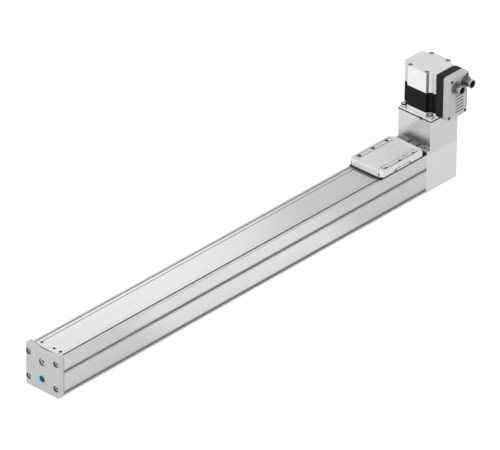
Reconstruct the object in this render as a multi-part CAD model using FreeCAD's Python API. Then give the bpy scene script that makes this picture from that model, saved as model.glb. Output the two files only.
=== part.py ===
"""Belt driven linear axis with a motor standing on its drive head.

A closed aluminium profile carries a ball rail on its floor. A carriage on that rail reaches out
through two slots, one on each side of a fixed cover strip. A toothed belt runs in a flat loop round
an idler at the capped end and a drive pulley in the head, and one of its strands is clamped to the
carriage. The pulley's shaft stands upright and meets the motor in a jaw coupling.

Frame: millimetres, origin in the middle of the axis's underside, +X from the end cap towards the
drive head, +Z up, and -Y the side with the motor's connectors. At rest the carriage stands against
the rubber stops of the drive head.
"""

import FreeCAD, Part
import math
import os

V = FreeCAD.Vector
match = 0.01  # how near two places are that count as the same

# Profile
profile_length = 720.0
profile_width = 60.0
profile_height = 60.0
half_width = profile_width / 2
profile_edge = 1.0
floor_thickness = 8.0
lower_wall = 10.0
middle_wall = 4.0
upper_wall = 8.7
shelf_slope = 2.0
lower_shelf_height = 17.5
groove_wall_height = profile_height - 27.5
screw_boss_top = profile_height - 5.7
slot_wall = 3.7
lip_top = profile_height - 0.2

# Grooves in the profile's sides, for slot nuts and sensors
groove_heights = (profile_height - 22.9, 4.9)
groove_opening = 3.0
groove_lip = 1.6
groove_width = 5.2
groove_depth = 4.4
groove_mouth_length = 3.5
groove_mouth_width = 4.4

# Cover strip between the two slots
strip_half_width = half_width - 6.7
strip_step_half_width = strip_half_width - 4.4
strip_bottom = lip_top - 1.4
strip_middle_top = lip_top - 0.5
strip_grip = 4.5
strip_play = 0.1
strip_top_play = 0.02

# Clamp that holds the strip's near end
strip_clamp_length = 9.5
strip_clamp_thickness = 2.6
strip_clamp_bow = 3.2
strip_clamp_play = 0.1

# End cap
cap_thickness = 10.0
cap_corner_height = profile_height + 4.0
cap_middle_height = profile_height + 0.4
cap_corner_radius = 1.6
cap_face_edge = 0.8
cap_screw_offset = half_width - 5.3
cap_screw_heights = (12.8, profile_height - 9.2)
channel_radius = 2.1
screw_hole_play = 0.3
counterbore_play = 0.4
thread_play = 0.02
socket_share = 0.55
cap_screw_length = 22.0
cap_screw_head_radius = 4.2
cap_screw_head_height = 5.0
cap_screw_sink = 2.4
port_height = 18.3
port_radius = 4.8
port_plug_length = 7.0
port_plug_proud = 0.2
port_plug_play = 0.02

# Toothed belt and its pulleys
belt_pitch = 5.0
belt_width = 15.0
belt_height = profile_height - 16.0
belt_thickness = 2.2
belt_tooth_height = 1.2
belt_tooth_root = 2.65
belt_tooth_tip = 1.8
belt_pitch_line = 0.43
pulley_teeth = 16
pulley_mesh_play = 0.12
pulley_side_play = 0.5
flange_thickness = 1.2
flange_radius = 14.5
idler_setback = 20.5

# Idler
idler_pin_radius = 4.0
idler_bearing_radius = 8.0
idler_bearing_width = 5.0
fork_plate_thickness = 3.0
fork_half_width = 12.0
fork_reach = 7.2
fork_nose = 4.0
fork_corner = 5.0
fork_web_thickness = 4.4
fork_gap = 0.8
tension_screw_radius = 3.0
tension_screw_play = 0.2
tension_screw_sink = 2.0
tension_screw_head_radius = 5.2
tension_screw_head_height = 6.0

# Guide rail and its runner block
rail_width = 15.0
rail_height = 14.0
rail_waist_depth = 1.8
rail_track_shares = (0.25, 0.4, 0.65, 0.8)
rail_edge = 0.8
rail_end_gap = 2.0
rail_screw_pitch = 180.0
rail_screw_radius = 2.0
rail_screw_head_radius = 3.5
rail_screw_head_height = 3.0
rail_screw_bite = 4.5
rail_screw_play = 0.05
runner_width = 34.0
runner_length = 40.0
runner_cap_length = 9.0
runner_floor_gap = 4.3
runner_play = 0.3
runner_edge = 1.5
runner_cap_step = 0.4

# Slide that joins the runner block to the carriage plate
slide_length = 66.0
slide_base_thickness = 3.5
slide_belt_gap = 1.0
slide_half_width = half_width - 10.0
slide_leg_thickness = 3.0
slide_flange_thickness = 2.6
slide_flange_gap = 0.8
arm_inner_half_width = half_width - 6.3
arm_outer_half_width = half_width - 4.1
arm_tongue = 1.8

# Clamp that holds the belt to the slide
clamp_length = 40.0
clamp_jaw_thickness = 4.6
clamp_cap_height = 5.4
clamp_gap = 0.1
clamp_foot_gap = 0.3
clamp_top_gap = 0.5

# Carriage plate
carriage_length = 89.0
carriage_side_length = 80.4
carriage_corner_width = 5.0
carriage_bottom = profile_height + 0.3
carriage_top = carriage_bottom + 11.7
carriage_end_round = 3.0
tray_length = 70.0
tray_inner = half_width - 11.8
tray_outer = half_width - 2.8
tray_depth = 1.5
tray_bridge = 3.0
tray_bridge_shift = 8.5
carriage_hole_pitch = 28.1
carriage_hole_offset = half_width - 5.4
carriage_hole_radius = 2.1
carriage_hole_depth = 6.5
side_pocket_length = 32.0
side_pocket_height = 5.5
side_pocket_depth = 0.9

# Rubber stops on the drive head
stop_thickness = 5.0
stop_gap = 0.3
stop_bottom = profile_height + 0.4
stop_top = stop_bottom + 3.6
stop_inner = half_width - 8.0
stop_outer = half_width - 0.4

# Drive head and its cover plate
head_length = 64.0
cover_plate_thickness = 5.8
head_edge = 0.8
belt_room_half_width = 16.5
shaft_radius = 5.0
bearing_radius = 11.0
bearing_width = 6.0
bearing_shoulder = 2.0
bearing_bore_play = 0.02
bearing_seal_depth = 0.4
bearing_race_share = 0.25
shaft_room_depth = 3.0
shaft_play = 1.5
collar_width = 1.2
collar_play = 0.1
spigot_radius = 18.0
spigot_play = 0.05

# Coupling housing and jaw coupling
housing_length = 57.0
housing_height = 44.5
housing_bore_radius = 17.0
housing_edge = 0.8
coupling_radius = 12.5
coupling_hub_height = 11.0
coupling_jaw_height = 7.0
coupling_bore_radius = 6.2
coupling_jaw_angle = 42.0
spider_arm_angle = 15.0
coupling_lift = 5.0
coupling_play = 0.1
coupling_end_gap = 0.3
spider_end_gap = 0.4
spider_arm_gap = 0.8

# Motor
flange_plate_thickness = 3.4
flange_corner = 1.5
flange_seam = 0.9
bell_height = 9.0
stator_height = 30.8
rear_cover_height = 31.7
motor_half_depth = 25.2
motor_half_width = half_width - 0.3
motor_flat_half_width = 17.2
motor_step = 1.8
motor_step_slope = 0.4
motor_step_width = 2.8
motor_corner_side = 16.4
motor_corner_edge = 1.2
motor_screw_offset = 23.57
motor_screw_radius = 2.5
motor_screw_head_radius = 4.3
motor_screw_head_height = 4.6
motor_screw_length = 16.0
motor_screw_end_room = 1.0
motor_screw_room = 0.6
pilot_radius = 19.0
pilot_height = 1.6
pilot_play = 0.05
pilot_floor_gap = 0.4
motor_shaft_room = 1.0
motor_shaft_radius = 4.0
rotor_radius = 14.5
rotor_air_gap = 0.4
rotor_end_gap = 2.0
rear_bearing_lift = 1.5
motor_bearing_radius = 9.5
motor_bearing_width = 5.0
magnet_gap = 1.0
magnet_radius = 4.5
magnet_height = 3.0
encoder_room_radius = 12.5
rear_end_wall = 3.0
rear_recess_radius = 3.4
rear_recess_depth = 1.2
rear_recess_side = 14.8

# Electronics housing on the motor's side
electronics_length = 40.0
electronics_setback = 19.0
electronics_bottom = 5.4
electronics_height = 66.0
electronics_corner = 3.0
spacer_depth = 13.0
spacer_wall = 2.4
spacer_back_wall = 4.0
spacer_cut_length = 7.2
spacer_cut_depth = 3.0
cover_depth = 8.2
cover_head_rise = 3.2
cover_head_height = 24.0
cover_wall = 2.6
cover_edge = 1.0
vent_count = 6
vent_pitch = 5.0
vent_length = 16.5
vent_width = 1.8
vent_depth = 1.6
vent_foot = 6.5
vent_margin = 7.0
board_thickness = 1.6
board_share = 0.6
connector_radius = 6.0
connector_play = 0.02
connector_wall = 1.2
connector_nut_radius = 8.4
connector_nut_length = 3.0
connector_lengths = (11.6, 13.4)
connector_mouth_depth = 11.0
connector_places = ((-6.4, 49.8), (12.8, 52.6))
connector_insert_sink = 6.0

# Levels and places that follow from the sizes above
overall_length = cap_thickness + profile_length + head_length
x_cap = -overall_length / 2
x_profile = x_cap + cap_thickness
x_head = x_profile + profile_length
x_back = x_head + head_length
x_drive = x_back - housing_length / 2
strand_teeth = int((x_drive - x_profile - idler_setback) / belt_pitch)
x_idler = x_drive - strand_teeth * belt_pitch
pitch_radius = pulley_teeth * belt_pitch / (2 * math.pi)
belt_back = belt_thickness - belt_tooth_height - belt_pitch_line
x_carriage = x_head - stop_thickness - stop_gap - carriage_length / 2
slide_bottom = belt_height - belt_width / 2 - slide_belt_gap - slide_base_thickness
arm_flange_bottom = screw_boss_top + slide_flange_gap
pulley_half_height = belt_width / 2 + pulley_side_play + flange_thickness
head_body_height = strip_bottom
z_plate = head_body_height + cover_plate_thickness
z_motor = z_plate + housing_height
z_stator = z_motor + bell_height
z_rear = z_stator + stator_height
z_top = z_rear + rear_cover_height
z_rear_bearing = z_rear + rear_bearing_lift
z_magnet = z_rear_bearing + motor_bearing_width + magnet_gap
x_electronics = x_drive - electronics_setback
z_electronics = z_motor + electronics_bottom
y_cover = half_width + spacer_depth
y_cover_face = y_cover + cover_depth
y_head_face = y_cover_face + cover_head_rise


def box(x0, x1, y0, y1, z0, z1):
    """A block between two corners."""
    return Part.makeBox(x1 - x0, y1 - y0, z1 - z0, V(x0, y0, z0))


def rod(radius, start, end):
    """A round bar from one point to another."""
    line = V(*end) - V(*start)
    return Part.makeCylinder(radius, line.Length, V(*start), line)


def ring(outer, inner, x, y, z0, z1):
    """An upright ring."""
    return rod(outer, (x, y, z0), (x, y, z1)).cut(rod(inner, (x, y, z0), (x, y, z1)))


def along_x(outline, x0, x1):
    """A closed (y, z) outline drawn out along the axis."""
    points = [V(x0, y, z) for y, z in outline]
    face = Part.Face(Part.makePolygon(points + points[:1]))
    return face.extrude(V(x1 - x0, 0, 0))


def upright(outline, z0, z1):
    """A closed (x, y) outline drawn upwards."""
    points = [V(x, y, z0) for x, y in outline]
    face = Part.Face(Part.makePolygon(points + points[:1]))
    return face.extrude(V(0, 0, z1 - z0))


def both_sides(half_outline):
    """A (y, z) half outline, listed from its lowest point up, closed by its mirror image."""
    return half_outline + [(-y, z) for y, z in reversed(half_outline)]


def edges_where(shape, test):
    """The edges whose middle passes a test."""
    return [edge for edge in shape.Edges if test(edge.CenterOfMass, edge)]


def near(value, target):
    return abs(value - target) < match


def socket_screw(head_radius, head_height, shank_radius, length):
    """A cap screw with a hexagon socket. Its head's top is at the origin and its shank points up."""
    screw = rod(head_radius, (0, 0, 0), (0, 0, head_height))
    screw = screw.fuse(rod(shank_radius, (0, 0, head_height), (0, 0, head_height + length)))
    socket_radius = head_radius * socket_share
    corners = [math.radians(60 * corner) for corner in range(6)]
    hexagon = [(socket_radius * math.cos(a), socket_radius * math.sin(a)) for a in corners]
    return screw.cut(upright(hexagon, 0, head_height * socket_share)).removeSplitter()


def placed(shape, place, direction):
    """A copy of a shape that points up, turned to point in a direction and moved to a place."""
    copy = shape.copy()
    turn = FreeCAD.Rotation(V(0, 0, 1), V(*direction))
    copy.Placement = FreeCAD.Placement(V(*place), turn)
    return copy


def cut_all(shape, tools):
    return shape.cut(Part.makeCompound(tools))


def one(shape):
    """The single solid of a result, or all of them if it has several."""
    return shape.Solids[0] if len(shape.Solids) == 1 else Part.makeCompound(shape.Solids)


def save(name, shape):
    one(shape).exportStep("parts/" + name + ".step")


def side_groove(side, height):
    """The T shaped groove that a slot nut slides in."""
    wall = side * half_width
    deep = side * (half_width - groove_depth)
    lip = side * (half_width - groove_lip)
    outside = side * (half_width + groove_lip)
    throat = along_x(
        [
            (outside, height - groove_opening / 2),
            (lip, height - groove_opening / 2),
            (lip, height + groove_opening / 2),
            (outside, height + groove_opening / 2),
        ],
        x_profile,
        x_head,
    )
    chamber = along_x(
        [
            (lip, height - groove_width / 2),
            (deep, height - groove_width / 2),
            (deep, height + groove_width / 2),
            (lip, height + groove_width / 2),
        ],
        x_profile,
        x_head,
    )
    mouth = box(
        x_head - groove_mouth_length,
        x_head,
        min(lip, outside),
        max(lip, outside),
        height - groove_mouth_width / 2,
        height + groove_mouth_width / 2,
    )
    return throat.fuse([chamber, mouth])


def screw_channels(start, end, radius):
    """The four round channels that the end cap's screws bite into."""
    return [
        rod(radius, (start, side * cap_screw_offset, height), (end, side * cap_screw_offset, height))
        for side in (-1, 1)
        for height in cap_screw_heights
    ]


def make_profile():
    outline = both_sides(
        [
            (half_width - profile_edge, 0),
            (half_width, profile_edge),
            (half_width, lip_top - profile_edge),
            (half_width - profile_edge, lip_top),
        ]
    )
    bar = along_x(outline, x_profile, x_head)
    cavity = both_sides(
        [
            (half_width - lower_wall, floor_thickness),
            (half_width - lower_wall, lower_shelf_height),
            (half_width - middle_wall, lower_shelf_height + shelf_slope),
            (half_width - middle_wall, groove_wall_height - shelf_slope),
            (half_width - upper_wall, groove_wall_height),
            (half_width - upper_wall, screw_boss_top),
            (half_width - slot_wall, screw_boss_top),
            (half_width - slot_wall, profile_height),
        ]
    )
    tools = [along_x(cavity, x_profile, x_head)]
    tools += [side_groove(side, height) for side in (-1, 1) for height in groove_heights]
    tools += screw_channels(x_profile, x_head, channel_radius)
    tools += [
        rod(rail_screw_radius, (x, 0, floor_thickness - rail_screw_bite), (x, 0, floor_thickness))
        for x in rail_screw_places()
    ]
    return cut_all(bar, tools)


def make_cover_strip():
    outline = both_sides(
        [
            (strip_half_width, strip_bottom),
            (strip_half_width, lip_top),
            (strip_step_half_width, lip_top),
            (strip_step_half_width, strip_middle_top),
        ]
    )
    return along_x(outline, x_profile + strip_clamp_length, x_head + strip_grip)


def strip_clamp_shape(play, top):
    """The clamp with its bow towards the cap, or with some play the room for it."""
    half = strip_half_width + play
    low = lip_top - strip_clamp_thickness
    corners = [V(x_profile, half, low), V(x_profile + strip_clamp_length, half, low)]
    corners += [V(x_profile + strip_clamp_length, -half, low), V(x_profile, -half, low)]
    tip = V(x_profile - strip_clamp_bow - play, 0, low)
    bow = Part.Arc(corners[3], tip, corners[0]).toShape()
    plan = Part.Face(Part.Wire([Part.makePolygon(corners), bow]))
    return plan.extrude(V(0, 0, top - low))


def make_strip_clamp():
    return strip_clamp_shape(0, lip_top)


def rail_outline(play):
    """The rail's (y, z) section with its two ball tracks, or the room for it with some play."""
    half = rail_width / 2 + play
    waist = half - rail_waist_depth
    foot = floor_thickness
    track = [foot + rail_height * share for share in rail_track_shares]
    top = floor_thickness + rail_height + play
    return both_sides(
        [
            (half, foot),
            (half, track[0]),
            (waist, track[1]),
            (waist, track[2]),
            (half, track[3]),
            (half, top - rail_edge),
            (half - rail_edge, top),
        ]
    )


def rail_screw_places():
    start = x_profile + rail_end_gap
    length = profile_length - 2 * rail_end_gap
    count = int((length - 2 * rail_screw_head_radius) / rail_screw_pitch) + 1
    first = start + (length - (count - 1) * rail_screw_pitch) / 2
    return [first + number * rail_screw_pitch for number in range(count)]


def countersunk(x, head_radius, shank_radius, top, bottom):
    """A countersunk screw, or the hole for one, that stands in the rail."""
    head = Part.makeCone(
        head_radius, shank_radius, rail_screw_head_height, V(x, 0, top), V(0, 0, -1)
    )
    return head.fuse(rod(shank_radius, (x, 0, top - rail_screw_head_height), (x, 0, bottom)))


def make_guide_rail():
    rail = along_x(rail_outline(0), x_profile + rail_end_gap, x_head - rail_end_gap)
    top = floor_thickness + rail_height
    holes = [
        countersunk(x, rail_screw_head_radius, rail_screw_radius, top, floor_thickness)
        for x in rail_screw_places()
    ]
    return cut_all(rail, holes)


def make_rail_screws():
    top = floor_thickness + rail_height - rail_screw_play
    bottom = floor_thickness - rail_screw_bite
    head = rail_screw_head_radius - rail_screw_play
    shank = rail_screw_radius - rail_screw_play
    return Part.makeCompound(
        [countersunk(x, head, shank, top, bottom) for x in rail_screw_places()]
    )


def make_end_cap():
    corner = half_width
    points = [V(x_cap, -corner, cap_corner_height), V(x_cap, -corner, 0)]
    points += [V(x_cap, corner, 0), V(x_cap, corner, cap_corner_height)]
    top = Part.Arc(points[3], V(x_cap, 0, cap_middle_height), points[0]).toShape()
    wire = Part.Wire([Part.makePolygon(points), top])
    cap = Part.Face(wire).extrude(V(cap_thickness, 0, 0))
    uprights = edges_where(
        cap, lambda middle, edge: near(middle.x, x_cap + cap_thickness / 2)
    )
    cap = cap.makeFillet(cap_corner_radius, uprights)
    rim = edges_where(cap, lambda middle, edge: near(middle.x, x_cap))
    cap = cap.makeChamfer(cap_face_edge, rim)
    head_room = cap_screw_sink + cap_screw_head_height
    x_seat = x_cap + tension_screw_sink + tension_screw_head_height
    tools = screw_channels(x_cap + head_room, x_profile, channel_radius + screw_hole_play)
    tools += screw_channels(x_cap, x_cap + head_room, cap_screw_head_radius + counterbore_play)
    tools += [
        rod(tension_screw_radius + tension_screw_play, (x_cap, 0, belt_height), (x_profile, 0, belt_height)),
        rod(tension_screw_head_radius + counterbore_play, (x_cap, 0, belt_height), (x_seat, 0, belt_height)),
        rod(port_radius, (x_cap, 0, port_height), (x_profile, 0, port_height)),
        strip_clamp_shape(strip_clamp_play, cap_corner_height),
    ]
    return cut_all(cap, tools)


def make_cap_screws():
    screw = socket_screw(
        cap_screw_head_radius,
        cap_screw_head_height,
        channel_radius - thread_play,
        cap_screw_length,
    )
    places = [(side * cap_screw_offset, height) for side in (-1, 1) for height in cap_screw_heights]
    x = x_cap + cap_screw_sink
    return Part.makeCompound([placed(screw, (x, y, z), (1, 0, 0)) for y, z in places])


def make_tension_screw():
    seat = tension_screw_sink + tension_screw_head_height
    length = cap_thickness - seat + fork_gap + fork_web_thickness
    screw = socket_screw(
        tension_screw_head_radius,
        tension_screw_head_height,
        tension_screw_radius,
        length,
    )
    return placed(screw, (x_cap + tension_screw_sink, 0, belt_height), (1, 0, 0))


def make_port_plug():
    """The coloured plug in the cap's lower port, a little proud of the face."""
    start = (x_cap - port_plug_proud, 0, port_height)
    return rod(port_radius - port_plug_play, start, (x_cap + port_plug_length, 0, port_height))


def belt_point(distance, inward):
    """A point of the belt's loop: a distance along its pitch line, and so far to its inner side.

    The loop starts under the drive pulley's axis on the near strand and runs round the drive
    pulley, back along the far strand, round the idler and along the near strand again.
    """
    strand = strand_teeth * belt_pitch
    wrap = pulley_teeth * belt_pitch / 2
    radius = pitch_radius - inward
    if distance < wrap:
        angle = distance / pitch_radius - math.pi / 2
        return x_drive + radius * math.cos(angle), radius * math.sin(angle)
    distance -= wrap
    if distance < strand:
        return x_drive - distance, radius
    distance -= strand
    if distance < wrap:
        angle = distance / pitch_radius + math.pi / 2
        return x_idler + radius * math.cos(angle), radius * math.sin(angle)
    distance -= wrap
    return x_idler + distance, -radius


def make_belt():
    """The endless belt: a smooth back, and a tooth at every pitch of its inner side."""
    loop = (2 * strand_teeth + pulley_teeth) * belt_pitch
    teeth = 2 * strand_teeth + pulley_teeth
    root_line = belt_pitch_line
    tip_line = belt_pitch_line + belt_tooth_height
    inner = []
    for tooth in range(teeth):
        middle = tooth * belt_pitch
        for offset, inward in (
            (-belt_tooth_root / 2, root_line),
            (-belt_tooth_tip / 2, tip_line),
            (belt_tooth_tip / 2, tip_line),
            (belt_tooth_root / 2, root_line),
        ):
            inner.append(belt_point((middle + offset) % loop, inward))
    bottom = belt_height - belt_width / 2
    back = pitch_radius + belt_back
    outside = rod(back, (x_drive, 0, bottom), (x_drive, 0, bottom + belt_width))
    outside = outside.fuse(
        [
            rod(back, (x_idler, 0, bottom), (x_idler, 0, bottom + belt_width)),
            box(x_idler, x_drive, -back, back, bottom, bottom + belt_width),
        ]
    ).removeSplitter()
    return outside.cut(upright(inner, bottom, bottom + belt_width))


def pulley_body():
    """A toothed wheel with a groove for every belt tooth and a flange above and below."""
    tip = pitch_radius - belt_pitch_line - pulley_mesh_play
    bottom = pitch_radius - belt_pitch_line - belt_tooth_height - 2 * pulley_mesh_play
    tip_half = belt_tooth_root / 2 + pulley_mesh_play
    root_half = belt_tooth_tip / 2 + pulley_mesh_play
    outline = []
    for tooth in range(pulley_teeth):
        angle = 2 * math.pi * tooth / pulley_teeth
        for radius, side in ((tip, -tip_half), (bottom, -root_half), (bottom, root_half), (tip, tip_half)):
            turn = angle + side / radius
            outline.append((radius * math.cos(turn), radius * math.sin(turn)))
    half = pulley_half_height - flange_thickness
    wheel = upright(outline, -half, half)
    for side in (-1, 1):
        start = side * half
        end = side * (half + flange_thickness)
        wheel = wheel.fuse(rod(flange_radius, (0, 0, start), (0, 0, end)))
    return wheel


def make_drive_pulley():
    wheel = pulley_body()
    half = pulley_half_height
    wheel = wheel.cut(rod(shaft_radius, (0, 0, -half), (0, 0, half)))
    wheel.translate(V(x_drive, 0, belt_height))
    return wheel


def make_idler_pulley():
    wheel = pulley_body()
    half = pulley_half_height
    wheel = wheel.cut(rod(idler_bearing_radius, (0, 0, -half), (0, 0, half)))
    wheel.translate(V(x_idler, 0, belt_height))
    return wheel


def bearing(outer, inner, width):
    """A sealed ball bearing as one ring, with the step between its races on the upper face."""
    race = (outer - inner) * bearing_race_share
    unit = ring(outer, inner, 0, 0, 0, width)
    return unit.cut(ring(outer - race, inner, 0, 0, width - bearing_seal_depth, width))


def make_idler_bearings():
    pair = []
    for side in (-1, 1):
        unit = bearing(idler_bearing_radius, idler_pin_radius + bearing_bore_play, idler_bearing_width)
        edge = belt_height + side * pulley_half_height
        unit.translate(V(x_idler, 0, edge if side < 0 else edge - idler_bearing_width))
        pair.append(unit)
    return Part.makeCompound(pair)


def fork_levels():
    """The lower and upper faces of the fork's two plates."""
    inner = pulley_half_height + pulley_side_play
    outer = inner + fork_plate_thickness
    return [belt_height + step for step in (-outer, -inner, inner, outer)]


def make_tension_fork():
    """The bracket that holds the idler and is drawn towards the cap by the tension screw."""
    low_out, low_in, high_in, high_out = fork_levels()
    x0 = x_profile + fork_gap
    x1 = x_idler + fork_reach
    web = box(x0, x0 + fork_web_thickness, -fork_half_width, fork_half_width, low_out, high_out)
    plates = []
    for z0, z1 in ((low_out, low_in), (high_in, high_out)):
        plate = box(x0, x1 - fork_nose / 2, -fork_half_width, fork_half_width, z0, z1)
        nose = upright(
            [
                (x1 - fork_nose / 2, -fork_half_width),
                (x1 + fork_nose / 2, -fork_half_width + fork_corner),
                (x1 + fork_nose / 2, fork_half_width - fork_corner),
                (x1 - fork_nose / 2, fork_half_width),
            ],
            z0,
            z1,
        )
        plates += [plate, nose]
    fork = web.fuse(plates).removeSplitter()
    pin_hole = rod(idler_pin_radius, (x_idler, 0, low_out), (x_idler, 0, high_out))
    x_web = x0 + fork_web_thickness
    thread = rod(tension_screw_radius, (x0, 0, belt_height), (x_web, 0, belt_height))
    return cut_all(fork, [pin_hole, thread])


def make_idler_pin():
    levels = fork_levels()
    return rod(idler_pin_radius, (x_idler, 0, levels[0]), (x_idler, 0, levels[-1]))


def make_runner(x0, x1, shrink):
    """A stretch of the block that runs on the rail, cut out to straddle it."""
    low = floor_thickness + runner_floor_gap + shrink
    high = slide_bottom - shrink
    half = runner_width / 2 - shrink
    outline = both_sides([(half, low), (half, high - runner_edge), (half - runner_edge, high)])
    return along_x(outline, x0, x1).cut(along_x(rail_outline(runner_play), x0, x1))


def make_runner_block():
    return make_runner(x_carriage - runner_length / 2, x_carriage + runner_length / 2, 0)


def make_runner_caps():
    near_end = x_carriage - runner_length / 2
    far_end = x_carriage + runner_length / 2
    return Part.makeCompound(
        [
            make_runner(near_end - runner_cap_length, near_end, runner_cap_step),
            make_runner(far_end, far_end + runner_cap_length, runner_cap_step),
        ]
    )


def make_slide():
    """The U shaped slide, with a flange and an arm on each side that reach out through the slots."""
    base_top = slide_bottom + slide_base_thickness
    inner = slide_half_width - slide_leg_thickness
    flange_top = arm_flange_bottom + slide_flange_thickness
    tongue_top = carriage_bottom + arm_tongue
    outline = both_sides(
        [
            (slide_half_width, slide_bottom),
            (slide_half_width, arm_flange_bottom),
            (arm_outer_half_width, arm_flange_bottom),
            (arm_outer_half_width, tongue_top),
            (arm_inner_half_width, tongue_top),
            (arm_inner_half_width, flange_top),
            (inner, flange_top),
            (inner, base_top),
        ]
    )
    return along_x(outline, x_carriage - slide_length / 2, x_carriage + slide_length / 2)


def clamp_tooth_places():
    """Where the belt's teeth lie in the clamp, also those that only reach into its ends."""
    reach = clamp_length / 2 + belt_tooth_root
    first = math.ceil((x_drive - x_carriage - reach) / belt_pitch)
    last = math.floor((x_drive - x_carriage + reach) / belt_pitch)
    return [x_drive - number * belt_pitch for number in range(first, last + 1)]


def make_belt_clamp():
    """The toothed jaw on the belt's inner side, hooked over it onto the slide's leg."""
    x0 = x_carriage - clamp_length / 2
    x1 = x_carriage + clamp_length / 2
    top = belt_height + belt_width / 2 + clamp_top_gap
    face = -(pitch_radius - belt_pitch_line - clamp_gap)
    inner = face + clamp_jaw_thickness
    leg = -(slide_half_width - slide_leg_thickness)
    low = slide_bottom + slide_base_thickness + clamp_foot_gap
    jaw_body = box(x0, x1, face, inner, low, top)
    hook = box(x0, x1, leg, inner, top, top + clamp_cap_height)
    tools = []
    depth = belt_tooth_height + clamp_gap
    for x in clamp_tooth_places():
        outline = [
            (x - belt_tooth_root / 2 - clamp_gap, face),
            (x - belt_tooth_tip / 2 - clamp_gap, face + depth),
            (x + belt_tooth_tip / 2 + clamp_gap, face + depth),
            (x + belt_tooth_root / 2 + clamp_gap, face),
        ]
        tools.append(upright(outline, low, top))
    return cut_all(jaw_body, tools).fuse(hook).removeSplitter()


def make_clamp_pad():
    """The plain pad between the belt's back and the slide's leg."""
    leg = -(slide_half_width - slide_leg_thickness)
    face = -(pitch_radius + belt_back + clamp_gap)
    low = slide_bottom + slide_base_thickness
    half = clamp_length / 2
    top = belt_height + belt_width / 2
    return box(x_carriage - half, x_carriage + half, leg, face, low, top)


def carriage_trays():
    """The two long trays that the fixing holes stand in, each crossed by one bridge."""
    tools = []
    floor = carriage_top - tray_depth
    for side in (-1, 1):
        bridge = x_carriage - side * tray_bridge_shift
        inner, outer = sorted((side * tray_inner, side * tray_outer))
        start = x_carriage - tray_length / 2
        end = x_carriage + tray_length / 2
        tools.append(box(start, bridge - tray_bridge / 2, inner, outer, floor, carriage_top))
        tools.append(box(bridge + tray_bridge / 2, end, inner, outer, floor, carriage_top))
    return tools


def carriage_holes():
    floor = carriage_top - tray_depth
    bottom = floor - carriage_hole_depth
    holes = []
    for side in (-1, 1):
        y = side * carriage_hole_offset
        for step in (-1, 0, 1):
            x = x_carriage + step * carriage_hole_pitch
            holes.append(rod(carriage_hole_radius, (x, y, floor), (x, y, bottom)))
    return holes


def make_carriage_plate():
    """The plate that the load is bolted to, with cut corners and rounded ends."""
    half = carriage_length / 2
    side_half = carriage_side_length / 2
    corner = half_width - carriage_corner_width
    outline = [
        (x_carriage - half, -corner),
        (x_carriage - side_half, -half_width),
        (x_carriage + side_half, -half_width),
        (x_carriage + half, -corner),
        (x_carriage + half, corner),
        (x_carriage + side_half, half_width),
        (x_carriage - side_half, half_width),
        (x_carriage - half, corner),
    ]
    plate = upright(outline, carriage_bottom, carriage_top)
    top_ends = edges_where(
        plate,
        lambda middle, edge: near(middle.z, carriage_top) and abs(middle.y) < half_width - match,
    )
    plate = plate.makeFillet(carriage_end_round, top_ends)
    tools = carriage_trays() + carriage_holes()
    for side in (-1, 1):
        inner, outer = sorted((side * arm_inner_half_width, side * arm_outer_half_width))
        length = slide_length / 2
        tools.append(
            box(
                x_carriage - length,
                x_carriage + length,
                inner,
                outer,
                carriage_bottom,
                carriage_bottom + arm_tongue,
            )
        )
        pocket = sorted((side * half_width, side * (half_width - side_pocket_depth)))
        tools.append(
            box(
                x_carriage - side_pocket_length / 2,
                x_carriage + side_pocket_length / 2,
                pocket[0],
                pocket[1],
                carriage_bottom,
                carriage_bottom + side_pocket_height,
            )
        )
    return cut_all(plate, tools)


def make_stops():
    return Part.makeCompound(
        [
            box(x_head - stop_thickness, x_head, y0, y1, stop_bottom, stop_top)
            for y0, y1 in ((-stop_outer, -stop_inner), (stop_inner, stop_outer))
        ]
    )


def drive_bearing_levels():
    """Where the lower and the upper bearing of the drive shaft stand."""
    lower = belt_height - pulley_half_height - bearing_shoulder - bearing_width
    upper = belt_height + pulley_half_height + bearing_shoulder
    return lower, upper


def make_drive_head():
    head = box(x_head, x_back, -half_width, half_width, 0, head_body_height)
    uprights = edges_where(
        head, lambda middle, edge: near(middle.z, head_body_height / 2) and near(middle.x, x_back)
    )
    head = head.makeChamfer(head_edge, uprights)
    lower, upper = drive_bearing_levels()
    room_floor = lower + bearing_width
    room = box(
        x_head, x_drive, -belt_room_half_width, belt_room_half_width, room_floor, head_body_height
    )
    tools = [
        room,
        rod(belt_room_half_width, (x_drive, 0, room_floor), (x_drive, 0, head_body_height)),
        rod(spigot_radius, (x_drive, 0, upper), (x_drive, 0, head_body_height)),
        rod(bearing_radius, (x_drive, 0, lower), (x_drive, 0, room_floor)),
        rod(shaft_radius + shaft_play, (x_drive, 0, lower - shaft_room_depth), (x_drive, 0, lower)),
    ]
    return cut_all(head, tools)


def make_cover_plate():
    """The plate that closes the head and carries the upper bearing in a spigot."""
    upper = drive_bearing_levels()[1]
    plate = box(x_head, x_back, -half_width, half_width, head_body_height, z_plate)
    uprights = edges_where(
        plate,
        lambda middle, edge: near(middle.x, x_back)
        and near(middle.z, (head_body_height + z_plate) / 2),
    )
    plate = plate.makeChamfer(head_edge, uprights)
    plate = plate.fuse(
        rod(spigot_radius - spigot_play, (x_drive, 0, upper), (x_drive, 0, head_body_height))
    )
    strip_room = box(
        x_head,
        x_head + strip_grip + strip_play,
        -strip_half_width - strip_play,
        strip_half_width + strip_play,
        head_body_height,
        lip_top + strip_top_play,
    )
    tools = [
        strip_room,
        rod(bearing_radius, (x_drive, 0, upper), (x_drive, 0, upper + bearing_width)),
        rod(shaft_radius + shaft_play, (x_drive, 0, upper), (x_drive, 0, z_plate)),
    ]
    return cut_all(plate, tools)


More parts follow.
